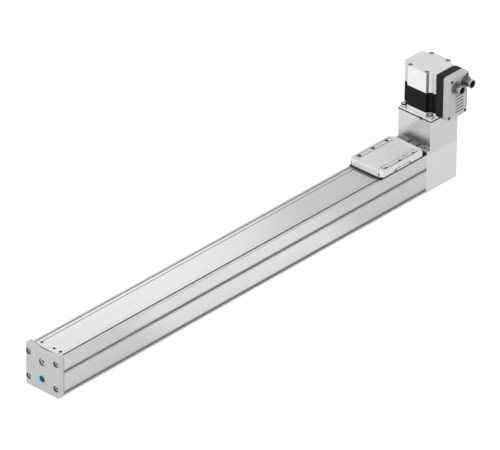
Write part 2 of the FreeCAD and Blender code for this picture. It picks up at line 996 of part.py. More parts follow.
def make_drive_bearings():
    units = []
    for level in drive_bearing_levels():
        unit = bearing(bearing_radius, shaft_radius + bearing_bore_play, bearing_width)
        unit.translate(V(x_drive, 0, level))
        units.append(unit)
    return Part.makeCompound(units)


def coupling_levels():
    """Bottom of the lower hub, the two faces the jaws stand on, and the top of the upper hub."""
    bottom = z_plate + coupling_lift
    lower_face = bottom + coupling_hub_height
    upper_face = lower_face + coupling_jaw_height
    return bottom, lower_face, upper_face, upper_face + coupling_hub_height


def make_drive_shaft():
    """The upright shaft, with a collar above and below the pulley that keeps it off the bearings."""
    lower, upper = drive_bearing_levels()
    hub_face = coupling_levels()[1]
    shaft = rod(shaft_radius, (x_drive, 0, lower), (x_drive, 0, hub_face))
    low_collar = rod(
        shaft_radius + collar_width,
        (x_drive, 0, lower + bearing_width + collar_play),
        (x_drive, 0, belt_height - pulley_half_height),
    )
    high_collar = rod(
        shaft_radius + collar_width,
        (x_drive, 0, belt_height + pulley_half_height),
        (x_drive, 0, upper - collar_play),
    )
    return shaft.fuse([low_collar, high_collar]).removeSplitter()


def jaw(angle, width, z0, z1, inner, outer):
    """A block between two radii, standing at an angle round the coupling's axis."""
    half = math.radians(width / 2)
    middle = math.radians(angle)
    corners = [
        (inner, -half),
        (outer, -half),
        (outer, 0),
        (outer, half),
        (inner, half),
    ]
    outline = [
        (x_drive + radius * math.cos(middle + turn), radius * math.sin(middle + turn))
        for radius, turn in corners
    ]
    return upright(outline, z0, z1)


def coupling_hub(z0, z1, jaw_z0, jaw_z1, bore, first_angle):
    hub = ring(coupling_radius, bore, x_drive, 0, z0, z1)
    outer = coupling_radius - coupling_play
    jaws = [
        jaw(first_angle + 120 * number, coupling_jaw_angle, jaw_z0, jaw_z1, coupling_bore_radius, outer)
        for number in range(3)
    ]
    return hub.fuse(jaws)


def make_lower_hub():
    bottom, lower_face, upper_face = coupling_levels()[:3]
    jaw_end = upper_face - coupling_end_gap
    return coupling_hub(bottom, lower_face, lower_face, jaw_end, shaft_radius, 0)


def make_upper_hub():
    lower_face, upper_face, top = coupling_levels()[1:]
    jaw_end = lower_face + coupling_end_gap
    return coupling_hub(upper_face, top, jaw_end, upper_face, motor_shaft_radius, 60)


def make_spider():
    """The elastic star whose six arms lie between the jaws."""
    lower_face, upper_face = coupling_levels()[1:3]
    z0 = lower_face + spider_end_gap
    z1 = upper_face - spider_end_gap
    inner = motor_shaft_radius + spider_arm_gap
    outer = coupling_radius - spider_end_gap
    core_radius = coupling_bore_radius * math.cos(math.radians(coupling_jaw_angle / 2)) - coupling_play
    core = ring(core_radius, motor_shaft_radius, x_drive, 0, z0, z1)
    arms = [jaw(30 + 60 * number, spider_arm_angle, z0, z1, inner, outer) for number in range(6)]
    return core.fuse(arms)


def make_coupling_housing():
    housing = box(x_back - housing_length, x_back, -half_width, half_width, z_plate, z_motor)
    uprights = edges_where(
        housing, lambda middle, edge: near(middle.z, (z_plate + z_motor) / 2)
    )
    housing = housing.makeChamfer(housing_edge, uprights)
    pilot_floor = z_motor - pilot_height - pilot_floor_gap
    tools = [
        rod(housing_bore_radius, (x_drive, 0, z_plate), (x_drive, 0, z_motor)),
        rod(pilot_radius + pilot_play, (x_drive, 0, pilot_floor), (x_drive, 0, z_motor)),
    ]
    depth = motor_screw_length - flange_plate_thickness + motor_screw_end_room
    tools += motor_screw_bars(motor_screw_radius, z_motor - depth, z_motor)
    return cut_all(housing, tools)


def motor_screw_bars(radius, z0, z1):
    return [
        rod(
            radius,
            (x_drive + sx * motor_screw_offset, sy * motor_screw_offset, z0),
            (x_drive + sx * motor_screw_offset, sy * motor_screw_offset, z1),
        )
        for sx in (-1, 1)
        for sy in (-1, 1)
    ]


def motor_outline():
    """The motor's plan: flat sides, with a step and a slanted cut at each corner."""
    quarter = [
        (motor_half_depth, motor_flat_half_width),
        (motor_half_depth - motor_step, motor_flat_half_width + motor_step_slope),
        (motor_half_depth - motor_step, motor_flat_half_width + motor_step_width),
        (motor_corner_side + motor_corner_edge, motor_half_width - motor_corner_edge),
        (motor_corner_side, motor_half_width),
    ]
    right = quarter + [(-x, y) for x, y in reversed(quarter)]
    whole = right + [(x, -y) for x, y in reversed(right)]
    return [(x_drive + x, y) for x, y in whole]


def make_motor_flange():
    """The motor's front end: a square plate on the housing and the bell that the stator sits on."""
    plate_top = z_motor + flange_plate_thickness
    plate = box(x_back - housing_length, x_back, -half_width, half_width, z_motor, plate_top)
    corners = edges_where(plate, lambda middle, edge: near(middle.z, (z_motor + plate_top) / 2))
    plate = plate.makeFillet(flange_corner, corners)
    seam = edges_where(plate, lambda middle, edge: near(middle.z, z_motor))
    plate = plate.makeChamfer(flange_seam, seam)
    bell = upright(motor_outline(), plate_top, z_stator)
    pilot = rod(pilot_radius, (x_drive, 0, z_motor - pilot_height), (x_drive, 0, z_motor))
    flange = plate.fuse([bell, pilot])
    bearing_bottom = z_stator - motor_bearing_width
    tools = motor_screw_bars(motor_screw_radius + screw_hole_play, z_motor, plate_top)
    tools += motor_screw_bars(motor_screw_head_radius + motor_screw_room, plate_top, z_stator)
    bore = motor_shaft_radius + motor_shaft_room
    tools += [
        rod(bore, (x_drive, 0, z_motor - pilot_height), (x_drive, 0, z_stator)),
        rod(motor_bearing_radius, (x_drive, 0, bearing_bottom), (x_drive, 0, z_stator)),
    ]
    return cut_all(flange, tools)


def make_motor_screws():
    screw = socket_screw(
        motor_screw_head_radius,
        motor_screw_head_height,
        motor_screw_radius - thread_play,
        motor_screw_length,
    )
    top = z_motor + flange_plate_thickness + motor_screw_head_height
    screws = [
        placed(screw, (x_drive + sx * motor_screw_offset, sy * motor_screw_offset, top), (0, 0, -1))
        for sx in (-1, 1)
        for sy in (-1, 1)
    ]
    return Part.makeCompound(screws)


def make_stator():
    """The stack of laminations round the rotor."""
    stack = upright(motor_outline(), z_stator, z_rear)
    tools = motor_screw_bars(motor_screw_head_radius + motor_screw_room, z_stator, z_rear)
    bore = rotor_radius + rotor_air_gap
    tools.append(rod(bore, (x_drive, 0, z_stator), (x_drive, 0, z_rear)))
    return cut_all(stack, tools)


def make_rotor():
    z0 = z_stator + rotor_end_gap
    z1 = z_rear - rotor_end_gap
    return ring(rotor_radius, motor_shaft_radius, x_drive, 0, z0, z1)


def make_motor_shaft():
    start = coupling_levels()[2]
    return rod(motor_shaft_radius, (x_drive, 0, start), (x_drive, 0, z_magnet))


def make_encoder_magnet():
    return rod(magnet_radius, (x_drive, 0, z_magnet), (x_drive, 0, z_magnet + magnet_height))


def make_motor_bearings():
    units = []
    for level in (z_stator - motor_bearing_width, z_rear_bearing):
        unit = bearing(motor_bearing_radius, motor_shaft_radius + bearing_bore_play, motor_bearing_width)
        unit.translate(V(x_drive, 0, level))
        units.append(unit)
    return Part.makeCompound(units)


def make_rear_cover():
    """The bright rear end of the motor, with the rear bearing and the encoder's room inside."""
    cover = upright(motor_outline(), z_rear, z_top)
    seat_top = z_rear_bearing + motor_bearing_width
    tools = motor_screw_bars(motor_screw_head_radius + motor_screw_room, z_rear, z_top)
    tools += [
        rod(rotor_radius, (x_drive, 0, z_rear), (x_drive, 0, z_rear_bearing)),
        rod(motor_bearing_radius, (x_drive, 0, z_rear_bearing), (x_drive, 0, seat_top)),
        rod(encoder_room_radius, (x_drive, 0, seat_top), (x_drive, 0, z_top - rear_end_wall)),
    ]
    for sx in (-1, 1):
        for sy in (-1, 1):
            x = x_drive + sx * (motor_half_depth - rear_recess_radius)
            y = sy * rear_recess_side
            tools.append(rod(rear_recess_radius, (x, y, z_top - rear_recess_depth), (x, y, z_top)))
    return cut_all(cover, tools)


def electronics_block(y0, y1, inset):
    """A block of the electronics housing between two distances from the axis, on the near side."""
    x0 = x_electronics + inset
    x1 = x_electronics + electronics_length - inset
    z0 = z_electronics + inset
    z1 = z_electronics + electronics_height - inset
    return box(x0, x1, -y1, -y0, z0, z1)


def cover_head(y0, y1, inset):
    """A block as wide as the housing at its upper end, where the cover stands out for the connectors."""
    x0 = x_electronics + inset
    x1 = x_electronics + electronics_length - inset
    z1 = z_electronics + electronics_height
    return box(x0, x1, -y1, -y0, z1 - cover_head_height + inset, z1 - inset)


def long_corners(shape):
    """The edges at the four outer corners of the electronics housing, which run away from the axis."""
    sides = (x_electronics, x_electronics + electronics_length)
    ends = (z_electronics, z_electronics + electronics_height)
    return edges_where(
        shape,
        lambda middle, edge: any(near(middle.x, x) for x in sides) and any(near(middle.z, z) for z in ends),
    )


def make_electronics_spacer():
    """The dark frame between the motor and the electronics, hollow for the circuit board."""
    frame = electronics_block(motor_half_width, y_cover, 0)
    frame = frame.makeFillet(electronics_corner, long_corners(frame))
    x1 = x_electronics + electronics_length
    cut = upright(
        [
            (x1 - spacer_cut_length, -motor_half_width),
            (x1, -motor_half_width - spacer_cut_depth),
            (x1, -motor_half_width),
        ],
        z_electronics,
        z_electronics + electronics_height,
    )
    room = electronics_block(half_width + spacer_back_wall, y_cover, spacer_wall)
    return cut_all(frame, [cut, room])


def make_circuit_board():
    middle = half_width + spacer_depth * board_share
    return electronics_block(middle, middle + board_thickness, spacer_wall)


def face_edges(shape, y):
    """The edges that lie all round in one plane across the near side."""
    return edges_where(
        shape, lambda middle, edge: all(near(vertex.Y, y) for vertex in edge.Vertexes)
    )


def make_electronics_cover():
    """The grey shell over the circuit board, with a row of vents and a raised end for the connectors."""
    body = electronics_block(y_cover, y_cover_face, 0)
    shell = body.fuse(cover_head(y_cover, y_head_face, 0)).removeSplitter()
    shell = shell.makeFillet(electronics_corner, long_corners(shell))
    shell = shell.makeChamfer(cover_edge, face_edges(shell, -y_head_face))
    tools = [
        electronics_block(y_cover, y_cover_face - cover_wall, cover_wall),
        cover_head(y_cover, y_head_face - cover_wall, cover_wall),
    ]
    x1 = x_electronics + electronics_length - vent_margin
    for number in range(vent_count):
        z = z_electronics + vent_foot + number * vent_pitch
        inner = -y_cover_face + vent_depth
        tools.append(box(x1 - vent_length, x1, -y_cover_face, inner, z, z + vent_width))
    tools += [connector_bar(place, connector_radius + connector_play) for place in connector_places]
    return cut_all(shell, tools)


def connector_bar(place, radius):
    """A bar on a connector's axis, from inside the cover to its raised face."""
    x = x_drive + place[0]
    z = z_electronics + place[1]
    return rod(radius, (x, -y_cover, z), (x, -y_head_face, z))


def make_connector(place, length):
    """A round plug connector: a nut on the cover's face and a shell open at its outer end."""
    x = x_drive + place[0]
    z = z_electronics + place[1]
    end = -y_head_face - length
    shell = rod(connector_radius, (x, -y_cover, z), (x, end, z))
    nut = rod(connector_nut_radius, (x, -y_head_face, z), (x, -y_head_face - connector_nut_length, z))
    mouth = rod(connector_radius - connector_wall, (x, end, z), (x, end + connector_mouth_depth, z))
    return shell.fuse(nut).cut(mouth)


def make_connector_insert(place, length):
    """The dark insulator that carries the contacts, set back in the shell's mouth."""
    x = x_drive + place[0]
    z = z_electronics + place[1]
    end = -y_head_face - length
    inner = connector_radius - connector_wall
    return rod(inner, (x, end + connector_insert_sink, z), (x, end + connector_mouth_depth, z))


def build():
    os.makedirs("parts", exist_ok=True)
    save("axis_profile", make_profile())
    save("cover_strip", make_cover_strip())
    save("strip_clamp", make_strip_clamp())
    save("guide_rail", make_guide_rail())
    save("rail_screws", make_rail_screws())
    save("end_cap", make_end_cap())
    save("cap_screws", make_cap_screws())
    save("tension_screw", make_tension_screw())
    save("port_plug", make_port_plug())
    save("tension_fork", make_tension_fork())
    save("idler_pin", make_idler_pin())
    save("idler_pulley", make_idler_pulley())
    save("idler_bearings", make_idler_bearings())
    save("toothed_belt", make_belt())
    save("runner_block", make_runner_block())
    save("runner_caps", make_runner_caps())
    save("slide", make_slide())
    save("belt_clamp", make_belt_clamp())
    save("clamp_pad", make_clamp_pad())
    save("carriage_plate", make_carriage_plate())
    save("head_stops", make_stops())
    save("drive_head", make_drive_head())
    save("head_cover_plate", make_cover_plate())
    save("drive_bearings", make_drive_bearings())
    save("drive_shaft", make_drive_shaft())
    save("drive_pulley", make_drive_pulley())
    save("coupling_housing", make_coupling_housing())
    save("coupling_lower_hub", make_lower_hub())
    save("coupling_spider", make_spider())
    save("coupling_upper_hub", make_upper_hub())
    save("motor_flange", make_motor_flange())
    save("motor_screws", make_motor_screws())
    save("motor_stator", make_stator())
    save("motor_rotor", make_rotor())
    save("motor_shaft", make_motor_shaft())
    save("motor_bearings", make_motor_bearings())
    save("encoder_magnet", make_encoder_magnet())
    save("motor_rear_cover", make_rear_cover())
    save("electronics_spacer", make_electronics_spacer())
    save("circuit_board", make_circuit_board())
    save("electronics_cover", make_electronics_cover())
    for name, place, length in zip(("signal", "power"), connector_places, connector_lengths):
        save("connector_" + name, make_connector(place, length))
        save("connector_" + name + "_insert", make_connector_insert(place, length))


build()
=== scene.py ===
import math

import bmesh
import bpy
from mathutils import Matrix, Vector


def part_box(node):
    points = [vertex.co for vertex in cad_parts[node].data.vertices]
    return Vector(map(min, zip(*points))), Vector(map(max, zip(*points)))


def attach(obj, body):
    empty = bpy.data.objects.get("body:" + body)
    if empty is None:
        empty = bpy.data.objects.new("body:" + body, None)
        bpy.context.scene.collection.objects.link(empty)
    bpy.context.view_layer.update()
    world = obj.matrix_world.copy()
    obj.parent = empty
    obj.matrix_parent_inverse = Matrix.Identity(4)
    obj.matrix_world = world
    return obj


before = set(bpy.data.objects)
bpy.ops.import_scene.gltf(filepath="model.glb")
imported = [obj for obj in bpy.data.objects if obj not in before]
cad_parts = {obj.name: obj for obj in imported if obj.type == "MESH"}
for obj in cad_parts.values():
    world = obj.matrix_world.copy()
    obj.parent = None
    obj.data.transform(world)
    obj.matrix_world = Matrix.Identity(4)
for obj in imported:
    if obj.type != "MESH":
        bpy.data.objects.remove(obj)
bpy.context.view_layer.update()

# The photographer's place
# A long lens from a distance, high on the end cap's side, with the frame turned by half a degree.
azimuth = math.radians(-47.74)
elevation = math.radians(30.81)
roll = math.radians(0.48)
distance = 9.17062
aim = Vector((0.003, 0.0, 0.060))
aside = -0.00200
below = -0.01672

back = Vector((
    math.sin(azimuth) * math.cos(elevation),
    -math.cos(azimuth) * math.cos(elevation),
    math.sin(elevation),
))
level = Vector((math.cos(azimuth), math.sin(azimuth), 0.0))
upward = back.cross(level)
right = level * math.cos(roll) + upward * math.sin(roll)
up = upward * math.cos(roll) - level * math.sin(roll)
bpy.ops.object.camera_add()
camera = bpy.context.object
camera.name = "photographer"
camera.matrix_world = Matrix((right, up, back)).transposed().to_4x4()
camera.location = aim - right * aside - up * below + back * distance
camera.data.sensor_width = 36.0
camera.data.lens = 490.62
camera.data.clip_start = 0.5
camera.data.clip_end = 60.0
bpy.context.scene.camera = camera

# The table and the studio light
# A pale table with a whiter card that the profile's side mirrors, under a white surround that metal
# mirrors dimmer toward the top. Soft lamps stand over the connectors' side, before the end cap, overhead
# and behind, where the strip mirrors one. A small one on the far left brightens the rounded edges.
table_half = 7.0
table_colour = (0.86, 0.86, 0.86, 1.0)
table_glow = 0.45
table_sheen = 0.27
card_sheen = 0.62
card_start = -0.185
card_end = 0.190
card_fade = 0.05
surround_level = 0.60
surround_above = 0.74
dimming_low = -0.1
dimming_high = 0.6
lamps = (
    ("long_side_lamp", (-0.9, -2.4, 2.3), (0.0, 0.0, 0.06), 1.8, 1.8, 22.0),
    ("cap_side_lamp", (-2.6, -0.2, 1.5), (0.0, 0.0, 0.06), 1.2, 1.2, 8.0),
    ("strip_lamp", (0.39, 0.65, 0.58), (-0.25, 0.0, 0.06), 0.50, 0.35, 0.41),
    ("overhead_lamp", (0.0, 0.3, 3.0), (0.0, 0.0, 0.06), 2.0, 2.0, 4.0),
    ("edge_lamp", (-1.15, 1.30, 1.50), (0.0, 0.0, 0.06), 0.5, 0.5, 3.0),
)

bpy.context.scene.view_settings.view_transform = "Standard"
world = bpy.context.scene.world or bpy.data.worlds.new("surround")
bpy.context.scene.world = world
world.use_nodes = True
nodes = world.node_tree.nodes
links = world.node_tree.links
nodes.clear()
world_out = nodes.new("ShaderNodeOutputWorld")
plain = nodes.new("ShaderNodeBackground")
plain.inputs["Strength"].default_value = surround_level
plain.inputs["Color"].default_value = (1.0, 1.0, 1.0, 1.0)
mirrored = nodes.new("ShaderNodeBackground")
mirrored.inputs["Color"].default_value = (1.0, 1.0, 1.0, 1.0)
white = nodes.new("ShaderNodeBackground")
white.inputs["Color"].default_value = (1.0, 1.0, 1.0, 1.0)
direction = nodes.new("ShaderNodeTexCoord")
parts = nodes.new("ShaderNodeSeparateXYZ")
height = nodes.new("ShaderNodeMapRange")
height.interpolation_type = "SMOOTHSTEP"
height.inputs["From Min"].default_value = dimming_low
height.inputs["From Max"].default_value = dimming_high
height.inputs["To Min"].default_value = 1.0
height.inputs["To Max"].default_value = surround_above
links.new(direction.outputs["Generated"], parts.inputs[0])
links.new(parts.outputs["Z"], height.inputs["Value"])
links.new(height.outputs["Result"], mirrored.inputs["Strength"])
path = nodes.new("ShaderNodeLightPath")
seen = nodes.new("ShaderNodeMath")
seen.operation = "MAXIMUM"
links.new(path.outputs["Is Camera Ray"], seen.inputs[0])
links.new(path.outputs["Is Transmission Ray"], seen.inputs[1])
by_metal = nodes.new("ShaderNodeMixShader")
links.new(path.outputs["Is Glossy Ray"], by_metal.inputs[0])
links.new(plain.outputs[0], by_metal.inputs[1])
links.new(mirrored.outputs[0], by_metal.inputs[2])
by_eye = nodes.new("ShaderNodeMixShader")
links.new(seen.outputs[0], by_eye.inputs[0])
links.new(by_metal.outputs[0], by_eye.inputs[1])
links.new(white.outputs[0], by_eye.inputs[2])
links.new(by_eye.outputs[0], world_out.inputs["Surface"])

for name, place, target, width, tall, power in lamps:
    bpy.ops.object.light_add(type="AREA", location=place)
    lamp = bpy.context.object
    lamp.name = name
    lamp.data.shape = "RECTANGLE"
    lamp.data.size = width
    lamp.data.size_y = tall
    lamp.data.energy = power
    lamp.rotation_euler = (Vector(target) - Vector(place)).to_track_quat("-Z", "Y").to_euler()

bpy.ops.mesh.primitive_plane_add(size=2 * table_half, location=(0.0, 0.0, -0.0002))
table = bpy.context.object
table.name = "table"
table_paint = bpy.data.materials.new("pale_table")
table_paint.use_nodes = True
nodes = table_paint.node_tree.nodes
links = table_paint.node_tree.links
nodes.clear()
out = nodes.new("ShaderNodeOutputMaterial")
matt = nodes.new("ShaderNodeBsdfDiffuse")
matt.inputs["Color"].default_value = table_colour
glow = nodes.new("ShaderNodeEmission")
both = nodes.new("ShaderNodeAddShader")
where = nodes.new("ShaderNodeTexCoord")
parts = nodes.new("ShaderNodeSeparateXYZ")
starts = nodes.new("ShaderNodeMapRange")
starts.interpolation_type = "SMOOTHSTEP"
starts.inputs["From Min"].default_value = card_start - card_fade
starts.inputs["From Max"].default_value = card_start + card_fade
starts.inputs["To Min"].default_value = table_sheen
starts.inputs["To Max"].default_value = card_sheen
ends = nodes.new("ShaderNodeMapRange")
ends.interpolation_type = "SMOOTHSTEP"
ends.inputs["From Min"].default_value = card_end + card_fade
ends.inputs["From Max"].default_value = card_end - card_fade
ends.inputs["To Min"].default_value = table_sheen
ends.inputs["To Max"].default_value = card_sheen
sheen = nodes.new("ShaderNodeMath")
sheen.operation = "MINIMUM"
path = nodes.new("ShaderNodeLightPath")
seen = nodes.new("ShaderNodeMath")
seen.operation = "MAXIMUM"
by_eye = nodes.new("ShaderNodeMath")
by_eye.operation = "MULTIPLY"
by_eye.inputs[1].default_value = table_glow
by_metal = nodes.new("ShaderNodeMath")
by_metal.operation = "MULTIPLY"
amount = nodes.new("ShaderNodeMath")
amount.operation = "ADD"
links.new(where.outputs["Object"], parts.inputs[0])
links.new(parts.outputs["X"], starts.inputs["Value"])
links.new(parts.outputs["X"], ends.inputs["Value"])
links.new(starts.outputs["Result"], sheen.inputs[0])
links.new(ends.outputs["Result"], sheen.inputs[1])
links.new(path.outputs["Is Camera Ray"], seen.inputs[0])
links.new(path.outputs["Is Transmission Ray"], seen.inputs[1])
links.new(seen.outputs[0], by_eye.inputs[0])
links.new(path.outputs["Is Glossy Ray"], by_metal.inputs[0])
links.new(sheen.outputs[0], by_metal.inputs[1])
links.new(by_eye.outputs[0], amount.inputs[0])
links.new(by_metal.outputs[0], amount.inputs[1])
links.new(amount.outputs[0], glow.inputs["Strength"])
links.new(matt.outputs[0], both.inputs[0])
links.new(glow.outputs[0], both.inputs[1])
links.new(both.outputs[0], out.inputs["Surface"])
table.data.materials.append(table_paint)


# The axis profile
# An aluminium extrusion with two T-grooves on each side and a slotted top. Drawn through a die, so its
# fine marks run along it, then cut to length and clear anodised. The insides of the grooves are left dull
# and darkened with painted shade. The slot walls are left dull and painted a pale grey, as painted light
# that lifts their shade, and painted shade darkens the joint with the end cap.
def finish(name, colour, metallic=0.0, roughness=0.4, grain=1500.0, stretch=(1.0, 1.0, 1.0), relief=0.00002,
           mottle=0.04, edge=0.0004, wear=0.3, crevice_shade=0.5, reach=0.006, shine=0.5):
    """A surface with its own unevenness of colour and polish, grain, worn edges, and painted shade in its
    crevices.
    """
    material = bpy.data.materials.new(name)
    material.use_nodes = True
    nodes = material.node_tree.nodes
    links = material.node_tree.links
    shader = nodes["Principled BSDF"]
    shader.inputs["Metallic"].default_value = metallic
    shader.inputs["Specular IOR Level"].default_value = shine
    where = nodes.new("ShaderNodeTexCoord")
    along = nodes.new("ShaderNodeMapping")
    along.inputs["Scale"].default_value = stretch
    links.new(where.outputs["Object"], along.inputs["Vector"])

    fine = nodes.new("ShaderNodeTexNoise")
    fine.inputs["Scale"].default_value = grain
    fine.inputs["Detail"].default_value = 3.0
    links.new(along.outputs["Vector"], fine.inputs["Vector"])
    broad = nodes.new("ShaderNodeTexNoise")
    broad.inputs["Scale"].default_value = grain * 0.06
    broad.inputs["Detail"].default_value = 2.0
    links.new(along.outputs["Vector"], broad.inputs["Vector"])

    tint = nodes.new("ShaderNodeValToRGB")
    tint.color_ramp.elements[0].position = 0.3
    tint.color_ramp.elements[1].position = 0.7
    tint.color_ramp.elements[0].color = [c * (1.0 - mottle) for c in colour] + [1.0]
    tint.color_ramp.elements[1].color = [min(c * (1.0 + mottle), 1.0) for c in colour] + [1.0]
    links.new(broad.outputs["Fac"], tint.inputs["Fac"])

    polish = nodes.new("ShaderNodeMapRange")
    polish.inputs["To Min"].default_value = roughness * 0.85
    polish.inputs["To Max"].default_value = min(roughness * 1.15, 1.0)
    links.new(fine.outputs["Fac"], polish.inputs["Value"])
    links.new(polish.outputs["Result"], shader.inputs["Roughness"])

    rounding = nodes.new("ShaderNodeBevel")
    rounding.samples = 4
    rounding.inputs["Radius"].default_value = edge
    relief_of = nodes.new("ShaderNodeBump")
    relief_of.inputs["Distance"].default_value = relief
    relief_of.inputs["Strength"].default_value = 0.6
    links.new(fine.outputs["Fac"], relief_of.inputs["Height"])
    links.new(rounding.outputs["Normal"], relief_of.inputs["Normal"])
    links.new(relief_of.outputs["Normal"], shader.inputs["Normal"])

    facing = nodes.new("ShaderNodeNewGeometry")
    turned = nodes.new("ShaderNodeVectorMath")
    turned.operation = "DOT_PRODUCT"
    links.new(facing.outputs["Normal"], turned.inputs[0])
    links.new(rounding.outputs["Normal"], turned.inputs[1])
    worn = nodes.new("ShaderNodeMapRange")
    worn.inputs["From Min"].default_value = 0.995
    worn.inputs["From Max"].default_value = 0.85
    worn.inputs["To Max"].default_value = wear
    links.new(turned.outputs["Value"], worn.inputs["Value"])
    rubbed = nodes.new("ShaderNodeMix")
    rubbed.data_type = "RGBA"
    rubbed.inputs[7].default_value = [min(c * 1.25 + 0.06, 1.0) for c in colour] + [1.0]
    links.new(worn.outputs["Result"], rubbed.inputs[0])
    links.new(tint.outputs["Color"], rubbed.inputs[6])

    # Painted shade: ambient occlusion darkens the base colour where other surfaces stand within the reach.
    hollow = nodes.new("ShaderNodeAmbientOcclusion")
    hollow.samples = 8
    hollow.inputs["Distance"].default_value = reach
    shaded = nodes.new("ShaderNodeMapRange")
    shaded.inputs["From Min"].default_value = 0.05
    shaded.inputs["From Max"].default_value = 0.75
    shaded.inputs["To Min"].default_value = 1.0 - crevice_shade
    links.new(hollow.outputs["AO"], shaded.inputs["Value"])
    occlusion_shaded = nodes.new("ShaderNodeMix")
    occlusion_shaded.data_type = "RGBA"
    occlusion_shaded.blend_type = "MULTIPLY"
    occlusion_shaded.inputs[0].default_value = 1.0
    links.new(rubbed.outputs[2], occlusion_shaded.inputs[6])
    links.new(shaded.outputs["Result"], occlusion_shaded.inputs[7])
    links.new(occlusion_shaded.outputs[2], shader.inputs["Base Color"])
    return material


def stain_or_shade(material, low, high, strength, colour=(0.02, 0.02, 0.02), fade=0.0002, facing=None):
    """Dulls and colours what lies between two corners, or only its faces that look one way, as a mark or as
    painted shade.
    """
    nodes = material.node_tree.nodes
    links = material.node_tree.links
    shader = nodes["Principled BSDF"]
    clean = shader.inputs["Base Color"].links[0].from_socket
    where = nodes.new("ShaderNodeTexCoord")
    shift = nodes.new("ShaderNodeVectorMath")
    shift.operation = "SUBTRACT"
    shift.inputs[1].default_value = [(a + b) / 2 for a, b in zip(low, high)]
    size = nodes.new("ShaderNodeVectorMath")
    size.operation = "ABSOLUTE"
    inside = nodes.new("ShaderNodeVectorMath")
    inside.operation = "SUBTRACT"
    inside.inputs[0].default_value = [(b - a) / 2 for a, b in zip(low, high)]
    parts = nodes.new("ShaderNodeSeparateXYZ")
    first = nodes.new("ShaderNodeMath")
    first.operation = "MINIMUM"
    least = nodes.new("ShaderNodeMath")
    least.operation = "MINIMUM"
    amount = nodes.new("ShaderNodeMapRange")
    amount.inputs["From Max"].default_value = fade
    amount.inputs["To Max"].default_value = strength
    links.new(where.outputs["Object"], shift.inputs[0])
    links.new(shift.outputs[0], size.inputs[0])
    links.new(size.outputs[0], inside.inputs[1])
    links.new(inside.outputs[0], parts.inputs[0])
    links.new(parts.outputs["X"], first.inputs[0])
    links.new(parts.outputs["Y"], first.inputs[1])
    links.new(first.outputs[0], least.inputs[0])
    links.new(parts.outputs["Z"], least.inputs[1])
    links.new(least.outputs[0], amount.inputs["Value"])
    much = amount.outputs["Result"]
    if facing:
        skin = nodes.new("ShaderNodeNewGeometry")
        toward = nodes.new("ShaderNodeVectorMath")
        toward.operation = "DOT_PRODUCT"
        toward.inputs[1].default_value = facing
        turned = nodes.new("ShaderNodeMath")
        turned.operation = "MULTIPLY"
        turned.use_clamp = True
        links.new(skin.outputs["True Normal"], toward.inputs[0])
        links.new(toward.outputs["Value"], turned.inputs[0])
        links.new(much, turned.inputs[1])
        much = turned.outputs[0]
    metal = shader.inputs["Metallic"]
    dull = nodes.new("ShaderNodeMapRange")
    dull.inputs["To Max"].default_value = 0.0
    if metal.links:
        links.new(metal.links[0].from_socket, dull.inputs["To Min"])
    else:
        dull.inputs["To Min"].default_value = metal.default_value
    links.new(much, dull.inputs["Value"])
    links.new(dull.outputs["Result"], metal)
    marked_or_shaded = nodes.new("ShaderNodeMix")
    marked_or_shaded.data_type = "RGBA"
    marked_or_shaded.inputs[7].default_value = [*colour, 1.0]
    links.new(much, marked_or_shaded.inputs[0])
    links.new(clean, marked_or_shaded.inputs[6])
    links.new(marked_or_shaded.outputs[2], shader.inputs["Base Color"])


def dress(material, *names):
    """Gives every material slot of these CAD nodes this material."""
    for name in names:
        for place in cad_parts[name].material_slots:
            place.material = material


anodised = finish("drawn_anodised_aluminium", (0.645, 0.645, 0.65), metallic=0.75, roughness=0.38,
                  grain=900.0, stretch=(0.03, 1.0, 1.0), mottle=0.03, crevice_shade=0.2)
groove_shade_grey = (0.48, 0.48, 0.48)
slot_painted_light_grey = (0.80, 0.80, 0.80)
groove_edges = (0.0205, 0.0303)
groove_levels = ((0.0334, 0.0408), (0.0012, 0.0086))
slot_edges = (0.0225, 0.0270)
slot_levels = (0.0500, 0.0597)
profile_start = -0.3875
profile_end = 0.334
cap_joint = (-0.3884, -0.3862)
# Painted shade in the grooves, and pale matt slot walls as painted light that lifts their shade.
for side in (-1, 1):
    low_y, high_y = sorted(side * edge for edge in groove_edges)
    for low_z, high_z in groove_levels:
        stain_or_shade(anodised, (profile_start, low_y, low_z), (profile_end, high_y, high_z), 1.0, groove_shade_grey)
    low_y, high_y = sorted(side * edge for edge in slot_edges)
    low_z, high_z = slot_levels
    stain_or_shade(anodised, (profile_start, low_y, low_z), (profile_end, high_y, high_z), 1.0, slot_painted_light_grey)
# Painted shade along the joint with the end cap.
stain_or_shade(anodised, (cap_joint[0], -0.04, -0.01), (cap_joint[1], 0.04, 0.07), 0.6, fade=0.0008)
dress(anodised, "axis_profile")

# The cover strip
# A thin stepped aluminium strip between the two slots, held at its ends, that keeps dust off the rail.
# A dark line of painted shade lies along each step, under the lips of the carriage, and the slot walls at
# its edges are painted pale and matt, as painted light that lifts their shade.
strip_metal = finish("drawn_strip_aluminium", (0.675, 0.675, 0.675), metallic=0.8, roughness=0.30,
                     grain=1200.0, stretch=(0.02, 1.0, 1.0), relief=0.00001, mottle=0.025, edge=0.0002,
                     crevice_shade=0.2, reach=0.002)
past_ends = 0.4
step_edges = (0.01805, 0.01925)
wall_edges = (0.0230, 0.0240)
# Painted shade along each step, and painted light on the slot walls, which are pale and matt.
for side in (-1, 1):
    low_y, high_y = sorted(side * edge for edge in step_edges)
    stain_or_shade(strip_metal, (-past_ends, low_y, 0.055), (past_ends, high_y, 0.0605), 0.45)
    low_y, high_y = sorted(side * edge for edge in wall_edges)
    stain_or_shade(strip_metal, (-past_ends, low_y, 0.0500), (past_ends, high_y, 0.0593), 1.0, slot_painted_light_grey)
dress(strip_metal, "cover_strip")


